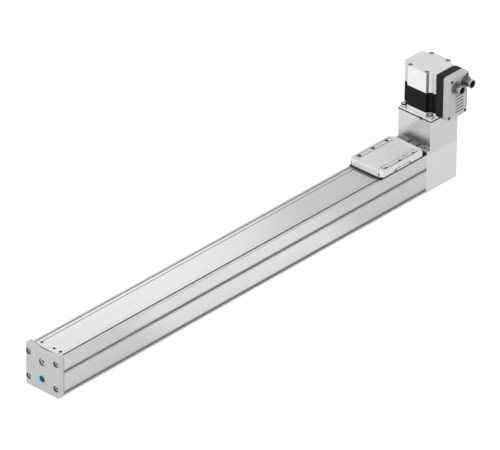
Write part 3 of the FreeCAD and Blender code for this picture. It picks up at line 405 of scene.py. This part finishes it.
# The strip clamp
# A milled aluminium plate that holds the strip's end, bowed into the end cap. Three small countersunk
# screws with black heads hold it, and a thin black rubber bead closes the joint along its bow and also
# stands in for the joint's shade.
def edit(thing):
    """Opens one object for shaping, with nothing selected in it."""
    bpy.ops.object.select_all(action="DESELECT")
    thing.select_set(True)
    bpy.context.view_layer.objects.active = thing
    bpy.ops.object.mode_set(mode="EDIT")
    bpy.ops.mesh.select_mode(type="FACE")
    bpy.ops.mesh.select_all(action="DESELECT")


def pick(thing, test):
    """Selects only the faces whose middle and normal pass the test."""
    bpy.ops.mesh.select_all(action="DESELECT")
    shape = bmesh.from_edit_mesh(thing.data)
    for face in shape.faces:
        if test(face.calc_center_median(), face.normal):
            face.select_set(True)
    bmesh.update_edit_mesh(thing.data)


def close():
    """Turns all faces outward and ends the shaping of the open object."""
    bpy.ops.mesh.select_all(action="SELECT")
    bpy.ops.mesh.remove_doubles(threshold=0.000002)
    bpy.ops.mesh.normals_make_consistent(inside=False)
    bpy.ops.object.mode_set(mode="OBJECT")
    bpy.ops.object.transform_apply(location=True, rotation=True, scale=True)
    bpy.ops.object.shade_smooth_by_angle(angle=math.radians(35))


def seat(thing, name, material, body):
    """Names a finished piece, gives it its material and fixes it to its body."""
    thing.name = name
    thing.data.name = name
    thing.data.materials.clear()
    thing.data.materials.append(material)
    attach(thing, body)


def screw_head(radius, height, socket, sink):
    """A round screw head with a rounded rim and a hexagon socket, standing on the origin."""
    bpy.ops.mesh.primitive_cylinder_add(vertices=32, radius=radius, depth=height,
                                        location=(0.0, 0.0, height / 2))
    head = bpy.context.object
    edit(head)
    pick(head, lambda middle, normal: normal.z > 0.9)
    bpy.ops.mesh.bevel(offset=height * 0.35, segments=3, affect="EDGES")
    close()
    bpy.ops.mesh.primitive_cylinder_add(vertices=6, radius=socket, depth=2 * sink,
                                        location=(0.0, 0.0, height))
    key = bpy.context.object
    bpy.context.view_layer.objects.active = head
    cut = head.modifiers.new("socket", "BOOLEAN")
    cut.operation = "DIFFERENCE"
    cut.object = key
    bpy.ops.object.modifier_apply(modifier=cut.name)
    bpy.data.objects.remove(key)
    return head


def copy_of(pattern, move):
    """A copy of the pattern with its own mesh, moved to its place."""
    twin = pattern.copy()
    twin.data = pattern.data.copy()
    bpy.context.collection.objects.link(twin)
    twin.data.transform(move)
    return twin


def set_screws(head, name, places, facing, material, body):
    """Puts a copy of the head at every place, looking along the facing."""
    turn = Vector((0.0, 0.0, 1.0)).rotation_difference(Vector(facing)).to_matrix().to_4x4()
    for count, place in enumerate(places, 1):
        screw = copy_of(head, Matrix.Translation(place) @ turn)
        seat(screw, f"{name}_{count}", material, body)
    bpy.data.objects.remove(head)


clamp_metal = finish("milled_clamp_aluminium", (0.70, 0.70, 0.70), metallic=0.7, roughness=0.34,
                     grain=1500.0, mottle=0.03, edge=0.0002, crevice_shade=0.35)
# Painted shade: a dark line on the near side only of the clamp's top, in line with the strip's near step.
clamp_shade_low = (-0.3888, -0.0193, 0.0500)
clamp_shade_high = (-0.3790, -0.0173, 0.0615)
stain_or_shade(clamp_metal, clamp_shade_low, clamp_shade_high, 0.75)
dress(clamp_metal, "strip_clamp")
black_steel = finish("black_oxide_steel", (0.014, 0.014, 0.015), roughness=0.6, grain=1800.0,
                     relief=0.00001, mottle=0.1, edge=0.0002, wear=0.1, crevice_shade=0.4, reach=0.002, shine=0.12)
clamp_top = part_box("strip_clamp")[1].z
strip_screw_x = -0.3794
strip_screw_y = (0.0172, -0.0054, -0.0172)
set_screws(
    screw_head(radius=0.0019, height=0.0005, socket=0.0008, sink=0.0002),
    "strip_screw",
    [(strip_screw_x, y, clamp_top - 0.0001) for y in strip_screw_y],
    (0.0, 0.0, 1.0),
    black_steel,
    "axis_frame",
)

bow_radius = 0.0864
bow_middle = -0.3038
bow_reach = math.radians(16.6)
bead_width = 0.0017
bead_bottom = 0.0594
bead_top = 0.06025
# A black rubber bead along the bow, which also stands in for the joint's shade.
bpy.ops.mesh.primitive_plane_add(size=1.0, rotation=(math.pi / 2, 0.0, 0.0))
bead = bpy.context.object
bead.scale = (bead_width, bead_top - bead_bottom, 1.0)
bead.location = (bow_middle - bow_radius + bead_width / 2, 0.0, (bead_top + bead_bottom) / 2)
bpy.ops.object.transform_apply(location=True, rotation=True, scale=True)
edit(bead)
bpy.ops.mesh.select_all(action="SELECT")
bpy.ops.transform.rotate(value=bow_reach, orient_axis="Z", center_override=(bow_middle, 0.0, 0.0))
bpy.ops.mesh.spin(steps=24, angle=-2 * bow_reach, center=(bow_middle, 0.0, 0.0), axis=(0.0, 0.0, 1.0))
close()
rubber = finish("moulded_black_rubber", (0.010, 0.010, 0.011), roughness=0.65, grain=1800.0, relief=0.00004,
                mottle=0.15, wear=0.05, crevice_shade=0.3, shine=0.25)
seat(bead, "clamp_bead_and_shade", rubber, "axis_frame")

# The end cap
# A cast and milled aluminium block, blasted to a fine even grain and clear anodised. Its four corner
# screws and the belt's tension screw are bright zinc-plated steel, set into round pockets. Painted shade
# darkens the pockets, the screws' sockets and the joint with the profile.
cap_metal = finish("blasted_cap_aluminium", (0.61, 0.61, 0.61), metallic=0.4, roughness=0.46, grain=1600.0,
                   mottle=0.03, edge=0.0006, wear=0.5, crevice_shade=0.9, reach=0.004)
# Painted shade along the joint with the profile.
stain_or_shade(cap_metal, (cap_joint[0], -0.04, -0.01), (cap_joint[1], 0.04, 0.0603), 0.4, fade=0.0008)
cap_screw_y = 0.0247
cap_screw_z = (0.0128, 0.0508)
cap_recess = 0.0050
tension_screw_z = 0.0440
tension_recess = 0.0068
screw_recesses = [(side * cap_screw_y, z, cap_recess) for side in (-1, 1) for z in cap_screw_z]
screw_recesses.append((0.0, tension_screw_z, tension_recess))
# Painted shade over the screw pockets.
for y, z, reach in screw_recesses:
    stain_or_shade(cap_metal, (-0.3967, y - reach, z - reach), (-0.3900, y + reach, z + reach), 0.95)
dress(cap_metal, "end_cap")
screw_steel = finish("zinc_plated_steel", (0.80, 0.80, 0.80), metallic=0.4, roughness=0.35, grain=1800.0,
                     relief=0.00001, mottle=0.05, wear=0.4, crevice_shade=0.45, reach=0.0025)
socket_share = 0.32
# Painted shade in the screws' sockets.
for y, z, reach in screw_recesses:
    socket = reach * socket_share
    low = (-0.4000, y - socket, z - socket)
    high = (-0.3800, y + socket, z + socket)
    stain_or_shade(screw_steel, low, high, 0.75, fade=0.0003)
dress(screw_steel, "cap_screws", "tension_screw", "rail_screws")

# The port plug
# A moulded blue plastic plug, pushed into the lower port and a little proud of the cap's face. A finger
# can lift it by its raised round rim of paler blue.
port_blue = finish("moulded_port_blue", (0.002, 0.11, 0.20), roughness=0.45, grain=1800.0, mottle=0.1,
                   wear=0.2, crevice_shade=0.5, shine=0.08)
dress(port_blue, "port_plug")
rim_blue = finish("moulded_rim_blue", (0.36, 0.74, 0.92), roughness=0.4, grain=1800.0, mottle=0.08,
                  wear=0.2, crevice_shade=0.4, shine=0.3)
plug_low, plug_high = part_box("port_plug")
rim_radius = 0.0053
rim_thickness = 0.0008
rim_x = -0.39702
rim_flatness = 0.2
bpy.ops.mesh.primitive_torus_add(
    major_radius=rim_radius,
    minor_radius=rim_thickness,
    major_segments=40,
    minor_segments=8,
    rotation=(0.0, math.pi / 2, 0.0),
    location=(rim_x, 0.0, (plug_low.z + plug_high.z) / 2),
)
rim = bpy.context.object
edit(rim)
bpy.ops.mesh.select_all(action="SELECT")
bpy.ops.transform.resize(value=(rim_flatness, 1.0, 1.0), center_override=(rim_x, 0.0, 0.0))
close()
seat(rim, "port_rim", rim_blue, "axis_frame")

# The carriage plate
# A milled and blasted aluminium plate with its black plastic scraper frame let into the lower edge. The
# lip of the scraper closes the gap to the profile. The frame's black band is partly the scraper and partly
# painted shade of the gap below, and is painted deeper on the end face. Steel thread inserts line the six
# fixing holes, and a ball nipple for grease sits in each side pocket. Painted shadow lines lie along two
# edges of each tray's floor and in the side pockets, and painted shade darkens the fixing holes and the
# notches at the corner cuts of the end.
plate_metal = finish("blasted_plate_aluminium", (0.80, 0.80, 0.80), metallic=0.5, roughness=0.40,
                     grain=1600.0, mottle=0.03, edge=0.0006, wear=0.5, crevice_shade=0.3, reach=0.003)
plate_low, plate_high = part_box("carriage_plate")
scraper_top = plate_low.z + 0.0022
pocket_scraper_top = plate_low.z + 0.0009
end_scraper_shade_top = plate_low.z + 0.0029
# A black band along the plate's lower edge, partly the scraper frame and partly painted shade of the gap
# below.
for low_x, high_x, low_y, high_y in (
    (plate_low.x - 0.01, plate_low.x + 0.0060, -0.04, 0.04),
    (plate_high.x - 0.0060, plate_high.x + 0.01, -0.04, 0.04),
    (plate_low.x + 0.0040, plate_high.x - 0.0040, -0.04, -0.0294),
    (plate_low.x + 0.0040, plate_high.x - 0.0040, 0.0294, 0.04),
):
    stain_or_shade(plate_metal, (low_x, low_y, plate_low.z - 0.001), (high_x, high_y, scraper_top), 1.0,
          (0.012, 0.012, 0.012))
# Painted shade: the band is deeper on the faces that look toward the end cap.
end_low = (plate_low.x - 0.01, -0.04, plate_low.z - 0.001)
end_high = (plate_low.x + 0.0060, 0.04, end_scraper_shade_top)
stain_or_shade(plate_metal, end_low, end_high, 1.0, (0.008, 0.008, 0.008), facing=(-1.0, 0.0, 0.0))
tray_inner = 0.0182
tray_outer = 0.0272
tray_floor = 0.0705
tray_start = 0.2482
tray_end = 0.3182
bridges = {1: 0.2747, -1: 0.2917}
notch_shade_edges = (0.0240, 0.0259)
pocket_wall = (0.0285, 0.0296)
pocket_mouth = (0.0285, 0.0299)
pocket_face = 0.0300
pocket_bottom = 0.0600
pocket_top = 0.0660
hole_shade_reach = 0.0023
hole_bottom = 0.0600
hole_middle = 0.2832
hole_pitch = 0.0281
hole_y = 0.0246
hole_places = [(hole_middle + hole_pitch * step, hole_y * side) for step in (-1, 0, 1) for side in (-1, 1)]
tray_shadow_width = 0.0032
tray_shadow_start = 0.0004
# Painted shadow lines on each tray's floor, along its near edge, at its end-cap end and at the start past
# the bridge.
for side in (-1, 1):
    near_edge, far_edge = sorted((side * tray_inner, side * tray_outer))
    for x, y, long, wide in (
        (tray_start, near_edge, tray_end - tray_start, tray_shadow_width),
        (tray_start, near_edge, tray_shadow_width + 0.0005, far_edge - near_edge),
        (bridges[side] + 0.0015, near_edge, tray_shadow_width + 0.0003, far_edge - near_edge),
    ):
        low = (x - tray_shadow_start, y - tray_shadow_start, tray_floor - 0.002)
        high = (x + long, y + wide, tray_floor + 0.001)
        stain_or_shade(plate_metal, low, high, 0.8, fade=0.0003)
    # Painted shade of the notches where the corner cuts meet the end face, at this end only.
    notch_shade = sorted(side * edge for edge in notch_shade_edges)
    low = (plate_low.x - 0.002, notch_shade[0], scraper_top)
    high = (plate_low.x + 0.0015, notch_shade[1], 0.0696)
    stain_or_shade(plate_metal, low, high, 0.8)
    wall = sorted(side * edge for edge in pocket_wall)
    mouth = sorted(side * edge for edge in pocket_mouth)
    face = (side * pocket_face - 0.001, side * pocket_face + 0.001)
    # Painted shadow lines in each side pocket, under its top and at its ends, and the black band below it.
    pocket_shadow_lines = (
        ((0.2678, 0.2994), wall, (0.0638, 0.0670), 0.85),
        ((0.2660, 0.3001), wall, (pocket_bottom, pocket_scraper_top), 1.0),
        ((0.2635, 0.2649), face, (pocket_bottom, pocket_top), 0.9),
        ((0.2660, 0.2697), wall, (pocket_bottom, pocket_top), 0.75),
        ((0.2982, 0.3001), mouth, (pocket_bottom, pocket_top), 0.9),
    )
    for x, y, z, strength in pocket_shadow_lines:
        stain_or_shade(plate_metal, (x[0], y[0], z[0]), (x[1], y[1], z[1]), strength)
# Painted shade darkens the walls of the fixing holes below the trays' floor.
for x, y in hole_places:
    low = (x - hole_shade_reach, y - hole_shade_reach, hole_bottom)
    high = (x + hole_shade_reach, y + hole_shade_reach, tray_floor - 0.0002)
    stain_or_shade(plate_metal, low, high, 1.0)
dress(plate_metal, "carriage_plate")

lip_gap = 0.0003
lip_bottom = 0.05986
lip_top = plate_low.z + 0.0001
lip_width = 0.0025
corner_along = 0.0043
corner_across = 0.005
lip_x = (plate_low.x + lip_gap, plate_high.x - lip_gap)
lip_y = plate_high.y - lip_gap
bpy.ops.mesh.primitive_cube_add(size=1.0)
lip = bpy.context.object
lip.scale = (lip_x[1] - lip_x[0], 2 * lip_y, lip_top - lip_bottom)
lip.location = (sum(lip_x) / 2, 0.0, (lip_top + lip_bottom) / 2)
bpy.ops.object.transform_apply(location=True, rotation=True, scale=True)
edit(lip)
for end, along in ((0, -1), (1, 1)):
    for across in (-1, 1):
        bpy.ops.mesh.select_all(action="SELECT")
        bpy.ops.mesh.bisect(
            plane_co=(lip_x[end], across * (lip_y - corner_across), 0.0),
            plane_no=(along * corner_across, across * corner_along, 0.0),
            use_fill=True,
            clear_outer=True,
        )
pick(lip, lambda middle, normal: abs(normal.z) > 0.9)
bpy.ops.mesh.inset(thickness=lip_width)
bpy.ops.mesh.bridge_edge_loops()
close()
black_plastic = finish("moulded_black_plastic", (0.010, 0.010, 0.011), roughness=0.5, grain=1800.0,
                       relief=0.00003, mottle=0.1, wear=0.06, crevice_shade=0.3, shine=0.3)
seat(lip, "scraper_lip", black_plastic, "carriage")

insert_radius = 0.0025
insert_bore = 0.0016
insert_height = 0.0003
insert_sunk = 0.00005
bpy.ops.mesh.primitive_cylinder_add(vertices=32, radius=insert_radius, depth=insert_height)
insert = bpy.context.object
edit(insert)
pick(insert, lambda middle, normal: abs(normal.z) > 0.9)
bpy.ops.mesh.inset(thickness=insert_radius - insert_bore)
bpy.ops.mesh.bridge_edge_loops()
close()
dull_steel = finish("phosphated_steel", (0.10, 0.10, 0.10), metallic=0.4, roughness=0.45, grain=1800.0,
                    relief=0.00001, mottle=0.1, edge=0.0002, wear=0.3, crevice_shade=0.6, reach=0.002)
for count, (x, y) in enumerate(hole_places, 1):
    sleeve = copy_of(insert, Matrix.Translation((x, y, tray_floor + insert_height / 2 - insert_sunk)))
    seat(sleeve, f"thread_insert_{count}", dull_steel, "carriage")
bpy.data.objects.remove(insert)

nipple_x = 0.2705
nipple_z = 0.0626
nipple_sunk = 0.0003
pocket_floor = 0.0291
bpy.ops.mesh.primitive_uv_sphere_add(segments=20, ring_count=12, radius=0.0011)
nipple = bpy.context.object
edit(nipple)
pick(nipple, lambda middle, normal: middle.z > 0.0007)
bpy.ops.mesh.inset(thickness=0.0002)
bpy.ops.mesh.extrude_region_move(TRANSFORM_OT_translate={"value": (0.0, 0.0, -0.0007)})
close()
for side in (-1, 1):
    turn = Matrix.Rotation(-side * math.pi / 2, 4, "X")
    place = (nipple_x, side * (pocket_floor - nipple_sunk), nipple_z)
    ball = copy_of(nipple, Matrix.Translation(place) @ turn)
    seat(ball, "grease_nipple_" + ("far" if side > 0 else "near"), black_steel, "carriage")
bpy.data.objects.remove(nipple)

# The stops
# Two moulded black rubber blocks that the carriage comes to rest against. They stand on the end face of
# the drive head, one on each side.
dress(rubber, "head_stops")

# The drive head, its cover plate and the coupling housing
# Three aluminium blocks, milled, blasted and clear anodised, stacked and screwed together. Two small
# countersunk screws with black heads show on the cover plate before the housing.
head_metal = finish("blasted_head_aluminium", (0.80, 0.80, 0.80), metallic=0.35, roughness=0.50,
                    grain=1600.0, mottle=0.025, edge=0.0006, wear=0.4, crevice_shade=0.5)
dress(head_metal, "drive_head")
housing_edge_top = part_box("coupling_housing")[1].z
housing_metal = finish("blasted_housing_aluminium", (0.65, 0.65, 0.65), metallic=0.85, roughness=0.29,
                       grain=1600.0, mottle=0.03, edge=0.0006, wear=0.4, crevice_shade=0.9, reach=0.028)
# Painted shade: a dark line along the housing's top edge under the flange. Its crevice shade reaches 28 mm,
# so its foot darkens where the carriage stands near.
stain_or_shade(housing_metal, (0.33, -0.04, housing_edge_top - 0.0008), (0.41, 0.04, housing_edge_top + 0.001), 0.95)
dress(housing_metal, "head_cover_plate", "coupling_housing")
head_plate_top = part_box("head_cover_plate")[1].z
plate_screw_x = 0.3370
plate_screw_y = 0.0081
set_screws(
    screw_head(radius=0.0019, height=0.0006, socket=0.0010, sink=0.0003),
    "plate_screw",
    [(plate_screw_x, y, head_plate_top - 0.0002) for y in (plate_screw_y, -plate_screw_y)],
    (0.0, 0.0, 1.0),
    black_steel,
    "axis_frame",
)

# The motor flange
# The bright front end of the motor, machined and left plain, on a black gasket that fills the joint above
# the coupling housing and also stands in for the joint's shade. A small tab of the gasket shows on the
# front.
# Four zinc-plated screws hold it, each with a black band round the top of its head and a bright plug pressed
# into its head.
flange_metal = finish("bright_flange_aluminium", (0.86, 0.86, 0.86), metallic=0.35, roughness=0.36,
                      grain=1400.0, relief=0.00003, mottle=0.03, edge=0.0005, wear=0.3, crevice_shade=0.35,
                      reach=0.004)
dress(flange_metal, "motor_flange")
flange_screw_steel = finish("zinc_plated_screw_steel", (0.55, 0.55, 0.55), metallic=0.9, roughness=0.25,
                            grain=1800.0, relief=0.00001, mottle=0.05, wear=0.5, crevice_shade=0.4, reach=0.003)
motor_screw_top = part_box("motor_screws")[1].z
rim_height = 0.0013
# A black band round the top of each screw head.
rim_low = (0.30, -0.05, motor_screw_top - rim_height)
rim_high = (0.41, 0.05, motor_screw_top + 0.002)
stain_or_shade(flange_screw_steel, rim_low, rim_high, 1.0)
dress(flange_screw_steel, "motor_screws")
plug_steel = finish("zinc_plated_plug_steel", (0.75, 0.75, 0.75), metallic=0.4, roughness=0.3, grain=1800.0,
                    relief=0.00001, mottle=0.05, edge=0.0002, wear=0.4, crevice_shade=0.5, reach=0.002)
motor_x = 0.3685
motor_screw_offset = 0.02357
plug_height = 0.0017
plug_sunk = 0.0009
set_screws(
    screw_head(radius=0.0028, height=plug_height, socket=0.0013, sink=0.0006),
    "flange_plug",
    [
        (motor_x + along * motor_screw_offset, across * motor_screw_offset, motor_screw_top - plug_sunk)
        for along in (-1, 1)
        for across in (-1, 1)
    ],
    (0.0, 0.0, 1.0),
    plug_steel,
    "axis_frame",
)

housing_low, housing_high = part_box("coupling_housing")
gasket_proud = 0.00012
gasket_inset = 0.0002
gasket_low = (housing_low.x - gasket_proud, housing_low.y - gasket_proud, housing_high.z - 0.0009)
gasket_high = (housing_high.x - gasket_inset, housing_high.y - gasket_inset, housing_high.z + 0.0011)
tab_y = (-0.0141, -0.0096)
tab_drop = 0.0012
tab_rise = 0.0006
# A black gasket in the joint, which also stands in for the joint's shade.
bpy.ops.mesh.primitive_cube_add(size=1.0)
gasket = bpy.context.object
gasket.scale = [high - low for low, high in zip(gasket_low, gasket_high)]
gasket.location = [(high + low) / 2 for low, high in zip(gasket_low, gasket_high)]
bpy.ops.object.transform_apply(location=True, rotation=True, scale=True)
edit(gasket)
for y in tab_y:
    bpy.ops.mesh.select_all(action="SELECT")
    bpy.ops.mesh.bisect(plane_co=(0.0, y, 0.0), plane_no=(0.0, 1.0, 0.0))
pick(gasket, lambda middle, normal: normal.x < -0.9 and tab_y[0] < middle.y < tab_y[1])
bpy.ops.mesh.extrude_region_move(TRANSFORM_OT_translate={"value": (-0.0002, 0.0, 0.0)})
pick(
    gasket,
    lambda middle, normal: normal.z < -0.9
    and tab_y[0] < middle.y < tab_y[1]
    and middle.x < gasket_low[0],
)
bpy.ops.mesh.extrude_region_move(TRANSFORM_OT_translate={"value": (0.0, 0.0, -tab_drop)})
pick(
    gasket,
    lambda middle, normal: normal.z > 0.9
    and tab_y[0] < middle.y < tab_y[1]
    and middle.x < gasket_low[0],
)
bpy.ops.mesh.extrude_region_move(TRANSFORM_OT_translate={"value": (0.0, 0.0, tab_rise)})
close()
seat(gasket, "flange_gasket_and_shade", rubber, "axis_frame")

# The motor stator
# A stack of thin black-lacquered iron sheets. Its sides show the sheets as fine level lines, and the steps
# at its four corners are painted blacker still, as painted shade.
laminations = finish("black_lacquered_sheets", (0.004, 0.004, 0.0045), metallic=0.0, roughness=0.45,
                     grain=1400.0, stretch=(0.05, 0.05, 2.0), relief=0.00006, mottle=0.2, edge=0.0003,
                     wear=0.06, crevice_shade=0.3, shine=0.12)
step_x = (0.0217, 0.0258)
step_y = (0.0168, 0.0225)
step_shade_black = (0.0005, 0.0005, 0.0005)
stator_low, stator_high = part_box("motor_stator")
# Painted shade: the stepped corners painted blacker than the sides.
for along in (-1, 1):
    for across in (-1, 1):
        x = sorted(motor_x + along * edge for edge in step_x)
        y = sorted(across * edge for edge in step_y)
        low = (x[0], y[0], stator_low.z - 0.001)
        high = (x[1], y[1], stator_high.z + 0.001)
        stain_or_shade(laminations, low, high, 1.0, step_shade_black)
dress(laminations, "motor_stator", "motor_rotor")

# The motor's rear cover
# A die-cast cover, shot clean and lacquered silver, with painted shade darkening the channels and steps at
# its corners. Four long screws hold it down through the stator, with their heads in round pockets on the
# top.
silver = finish("lacquered_cover_silver", (0.84, 0.84, 0.84), metallic=0.5, roughness=0.32, grain=1400.0,
                relief=0.00003, mottle=0.03, edge=0.0005, wear=0.3, crevice_shade=0.8, reach=0.004)
cover_low, cover_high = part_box("motor_rear_cover")
cut_x = (0.0140, 0.0217)
cut_y = (0.0200, 0.0300)
# Painted shade darkens the corner channels and steps.
for along in (-1, 1):
    for across in (-1, 1):
        for span_x, span_y, corner_shade, colour in (
            (step_x, step_y, 0.85, (0.15, 0.15, 0.15)),
            (cut_x, cut_y, 0.22, (0.30, 0.30, 0.30)),
        ):
            x = sorted(motor_x + along * edge for edge in span_x)
            y = sorted(across * edge for edge in span_y)
            low = (x[0], y[0], cover_low.z - 0.001)
            high = (x[1], y[1], cover_high.z - 0.0003)
            stain_or_shade(silver, low, high, corner_shade, colour)
dress(silver, "motor_rear_cover")
grey_steel = finish("phosphated_grey_steel", (0.32, 0.32, 0.32), metallic=0.4, roughness=0.45, grain=1800.0,
                    relief=0.00001, mottle=0.1, edge=0.0002, wear=0.3, crevice_shade=0.5, reach=0.002)
pocket_depth = 0.0012
rear_screw_x = 0.0218
rear_screw_y = 0.0148
set_screws(
    screw_head(radius=0.0029, height=0.0009, socket=0.0015, sink=0.0006),
    "rear_screw",
    [
        (motor_x + rear_screw_x * along, rear_screw_y * across, cover_high.z - pocket_depth)
        for along in (-1, 1)
        for across in (-1, 1)
    ],
    (0.0, 0.0, 1.0),
    grey_steel,
    "axis_frame",
)

# The electronics
# A black plastic spacer against the motor and a painted cast cover with cooling slots in front of it,
# held by four small black screws. The circuit board between them has a green solder mask.
spacer_plastic = finish("moulded_spacer_plastic", (0.008, 0.008, 0.009), roughness=0.5, grain=1800.0,
                        relief=0.00003, mottle=0.1, wear=0.06, crevice_shade=0.3, shine=0.2)
dress(spacer_plastic, "electronics_spacer")
grey = finish("painted_cover_grey", (0.59, 0.59, 0.595), metallic=0.1, roughness=0.45, grain=1400.0,
              relief=0.00003, mottle=0.03, edge=0.0005, wear=0.3, crevice_shade=0.85, reach=0.004)
# A dark line painted down part of the cover's edge, low on the side away from the end cap.
edge_line_low = (0.3878, -0.0520, 0.1215)
edge_line_high = (0.3910, -0.0490, 0.1500)
stain_or_shade(grey, edge_line_low, edge_line_high, 0.85)
dress(grey, "electronics_cover")
board = finish("board_solder_mask", (0.01, 0.09, 0.03), roughness=0.35, grain=1800.0, relief=0.00001,
               mottle=0.2, wear=0.1, crevice_shade=0.3)
dress(board, "circuit_board")
raised_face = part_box("electronics_cover")[0].y
lower_face = -0.0512
screw_rise = 0.0003
upper_screw_z = 0.1755
lower_screw_z = 0.1178
set_screws(
    screw_head(radius=0.0022, height=0.0006, socket=0.0011, sink=0.0002),
    "cover_screw",
    [
        (0.3536, raised_face + screw_rise, upper_screw_z),
        (0.3862, raised_face + screw_rise, upper_screw_z),
        (0.3529, lower_face + screw_rise, lower_screw_z),
        (0.3866, lower_face + screw_rise, lower_screw_z),
    ],
    (0.0, -1.0, 0.0),
    black_steel,
    "axis_frame",
)

# The connectors
# Two round plug connectors of nickel-plated brass with knurled nuts, their nickel painted dark as a painted
# reflection of dark surroundings. The shorter is for the signals, with five contacts, and the longer for the
# power, with four and a thicker end. A polished ring ends each, painted pale as a painted highlight, and
# the contacts are gold-plated.
# Painted reflection: the nickel is painted dark for the dark surroundings it mirrors.
reflection_dark_nickel = finish("plated_connector_nickel_painted_dark", (0.22, 0.22, 0.22), metallic=0.9, roughness=0.30, grain=1800.0,
                relief=0.00001, mottle=0.12, edge=0.0003, wear=0.4, crevice_shade=0.75, reach=0.006)
dress(reflection_dark_nickel, "connector_signal", "connector_power")
dress(black_plastic, "connector_signal_insert", "connector_power_insert")
gold = finish("plated_contact_gold", (0.16, 0.11, 0.05), metallic=1.0, roughness=0.2, grain=1800.0,
              relief=0.000005, mottle=0.05, wear=0.2, crevice_shade=0.4, reach=0.002)

nut_radius = 0.0084
nut_tooth = 0.0003
nut_width = 0.0022
nut_sides = 48
nut_face = -0.0574
set_in = 0.0002
pin_radius = 0.0005
pin_length = 0.0036
pin_circle = 0.0026
# Painted highlight: the end ring is painted pale for the light it catches.
highlight_pale_nickel = finish("polished_ring_nickel_painted_highlight", (0.58, 0.58, 0.58), metallic=0.4, roughness=0.25,
                         grain=1800.0, relief=0.00001, mottle=0.05, edge=0.0002, wear=0.3, crevice_shade=0.0)
ring_bore = 0.0059
ring_width = 0.0018
for name, contacts, ring_radius in (("signal", 5, 0.00625), ("power", 4, 0.0066)):
    body_low, body_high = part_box("connector_" + name)
    insert_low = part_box("connector_" + name + "_insert")[0]
    middle_x = (body_low.x + body_high.x) / 2
    middle_z = (body_low.z + body_high.z) / 2
    bpy.ops.mesh.primitive_cylinder_add(
        vertices=nut_sides,
        radius=nut_radius,
        depth=nut_width,
        location=(middle_x, nut_face + set_in + nut_width / 2, middle_z),
        rotation=(math.pi / 2, 0.0, 0.0),
    )
    knurl = bpy.context.object
    bpy.ops.object.transform_apply(location=True, rotation=True, scale=True)
    edit(knurl)
    pick(
        knurl,
        lambda middle, normal: abs(normal.y) < 0.5
        and int(nut_sides * (0.5 + math.atan2(normal.z, normal.x) / math.tau)) % 2 == 0,
    )
    bpy.ops.mesh.inset(thickness=0.00012, use_individual=True)
    bpy.ops.transform.shrink_fatten(value=nut_tooth)
    close()
    seat(knurl, name + "_nut_knurl", reflection_dark_nickel, "axis_frame")

    spots = [(0.0, 0.0)] if contacts == 5 else []
    turns = [math.radians(45 + 90 * step) for step in range(4)]
    spots += [(pin_circle * math.cos(turn), pin_circle * math.sin(turn)) for turn in turns]
    for count, (dx, dz) in enumerate(spots, 1):
        bpy.ops.mesh.primitive_cylinder_add(
            vertices=12,
            radius=pin_radius,
            depth=pin_length,
            location=(middle_x + dx, insert_low.y - pin_length / 2 + 0.0003, middle_z + dz),
            rotation=(math.pi / 2, 0.0, 0.0),
        )
        pin = bpy.context.object
        bpy.ops.object.transform_apply(location=True, rotation=True, scale=True)
        edit(pin)
        pick(pin, lambda middle, normal: normal.y < -0.9)
        bpy.ops.mesh.bevel(offset=pin_radius * 0.6, segments=3, affect="EDGES")
        close()
        seat(pin, f"{name}_contact_{count}", gold, "axis_frame")

    bpy.ops.mesh.primitive_cylinder_add(
        vertices=48,
        radius=ring_radius,
        depth=ring_width,
        location=(middle_x, body_low.y + set_in + ring_width / 2, middle_z),
        rotation=(math.pi / 2, 0.0, 0.0),
    )
    ring = bpy.context.object
    bpy.ops.object.transform_apply(location=True, rotation=True, scale=True)
    edit(ring)
    pick(ring, lambda middle, normal: abs(normal.y) > 0.9)
    bpy.ops.mesh.inset(thickness=ring_radius - ring_bore)
    bpy.ops.mesh.bridge_edge_loops()
    close()
    seat(ring, name + "_ring", highlight_pale_nickel, "axis_frame")

# What runs inside
# The belt and the elastic star of the coupling are moulded, the rail, bearings, pulleys and shafts are
# ground steel, and the slide, the belt clamp and the fork are milled aluminium.
dress(rubber, "toothed_belt")
dress(black_plastic, "runner_caps")
spider = finish("cast_red_polyurethane", (0.5, 0.03, 0.02), grain=1800.0, mottle=0.1, wear=0.1, crevice_shade=0.3)
dress(spider, "coupling_spider")
inner_metal = finish("milled_inner_aluminium", (0.62, 0.62, 0.62), metallic=0.7, roughness=0.4, grain=1500.0)
dress(inner_metal, "slide", "belt_clamp", "clamp_pad", "tension_fork")
ground = finish("ground_steel", (0.5, 0.5, 0.51), metallic=1.0, roughness=0.25, stretch=(0.1, 1.0, 1.0),
                relief=0.00001, wear=0.4, crevice_shade=0.6)
dress(ground, "guide_rail", "runner_block", "idler_pin", "idler_pulley", "idler_bearings", "drive_pulley",
      "drive_shaft", "drive_bearings", "coupling_lower_hub", "coupling_upper_hub", "motor_shaft",
      "motor_bearings", "encoder_magnet")
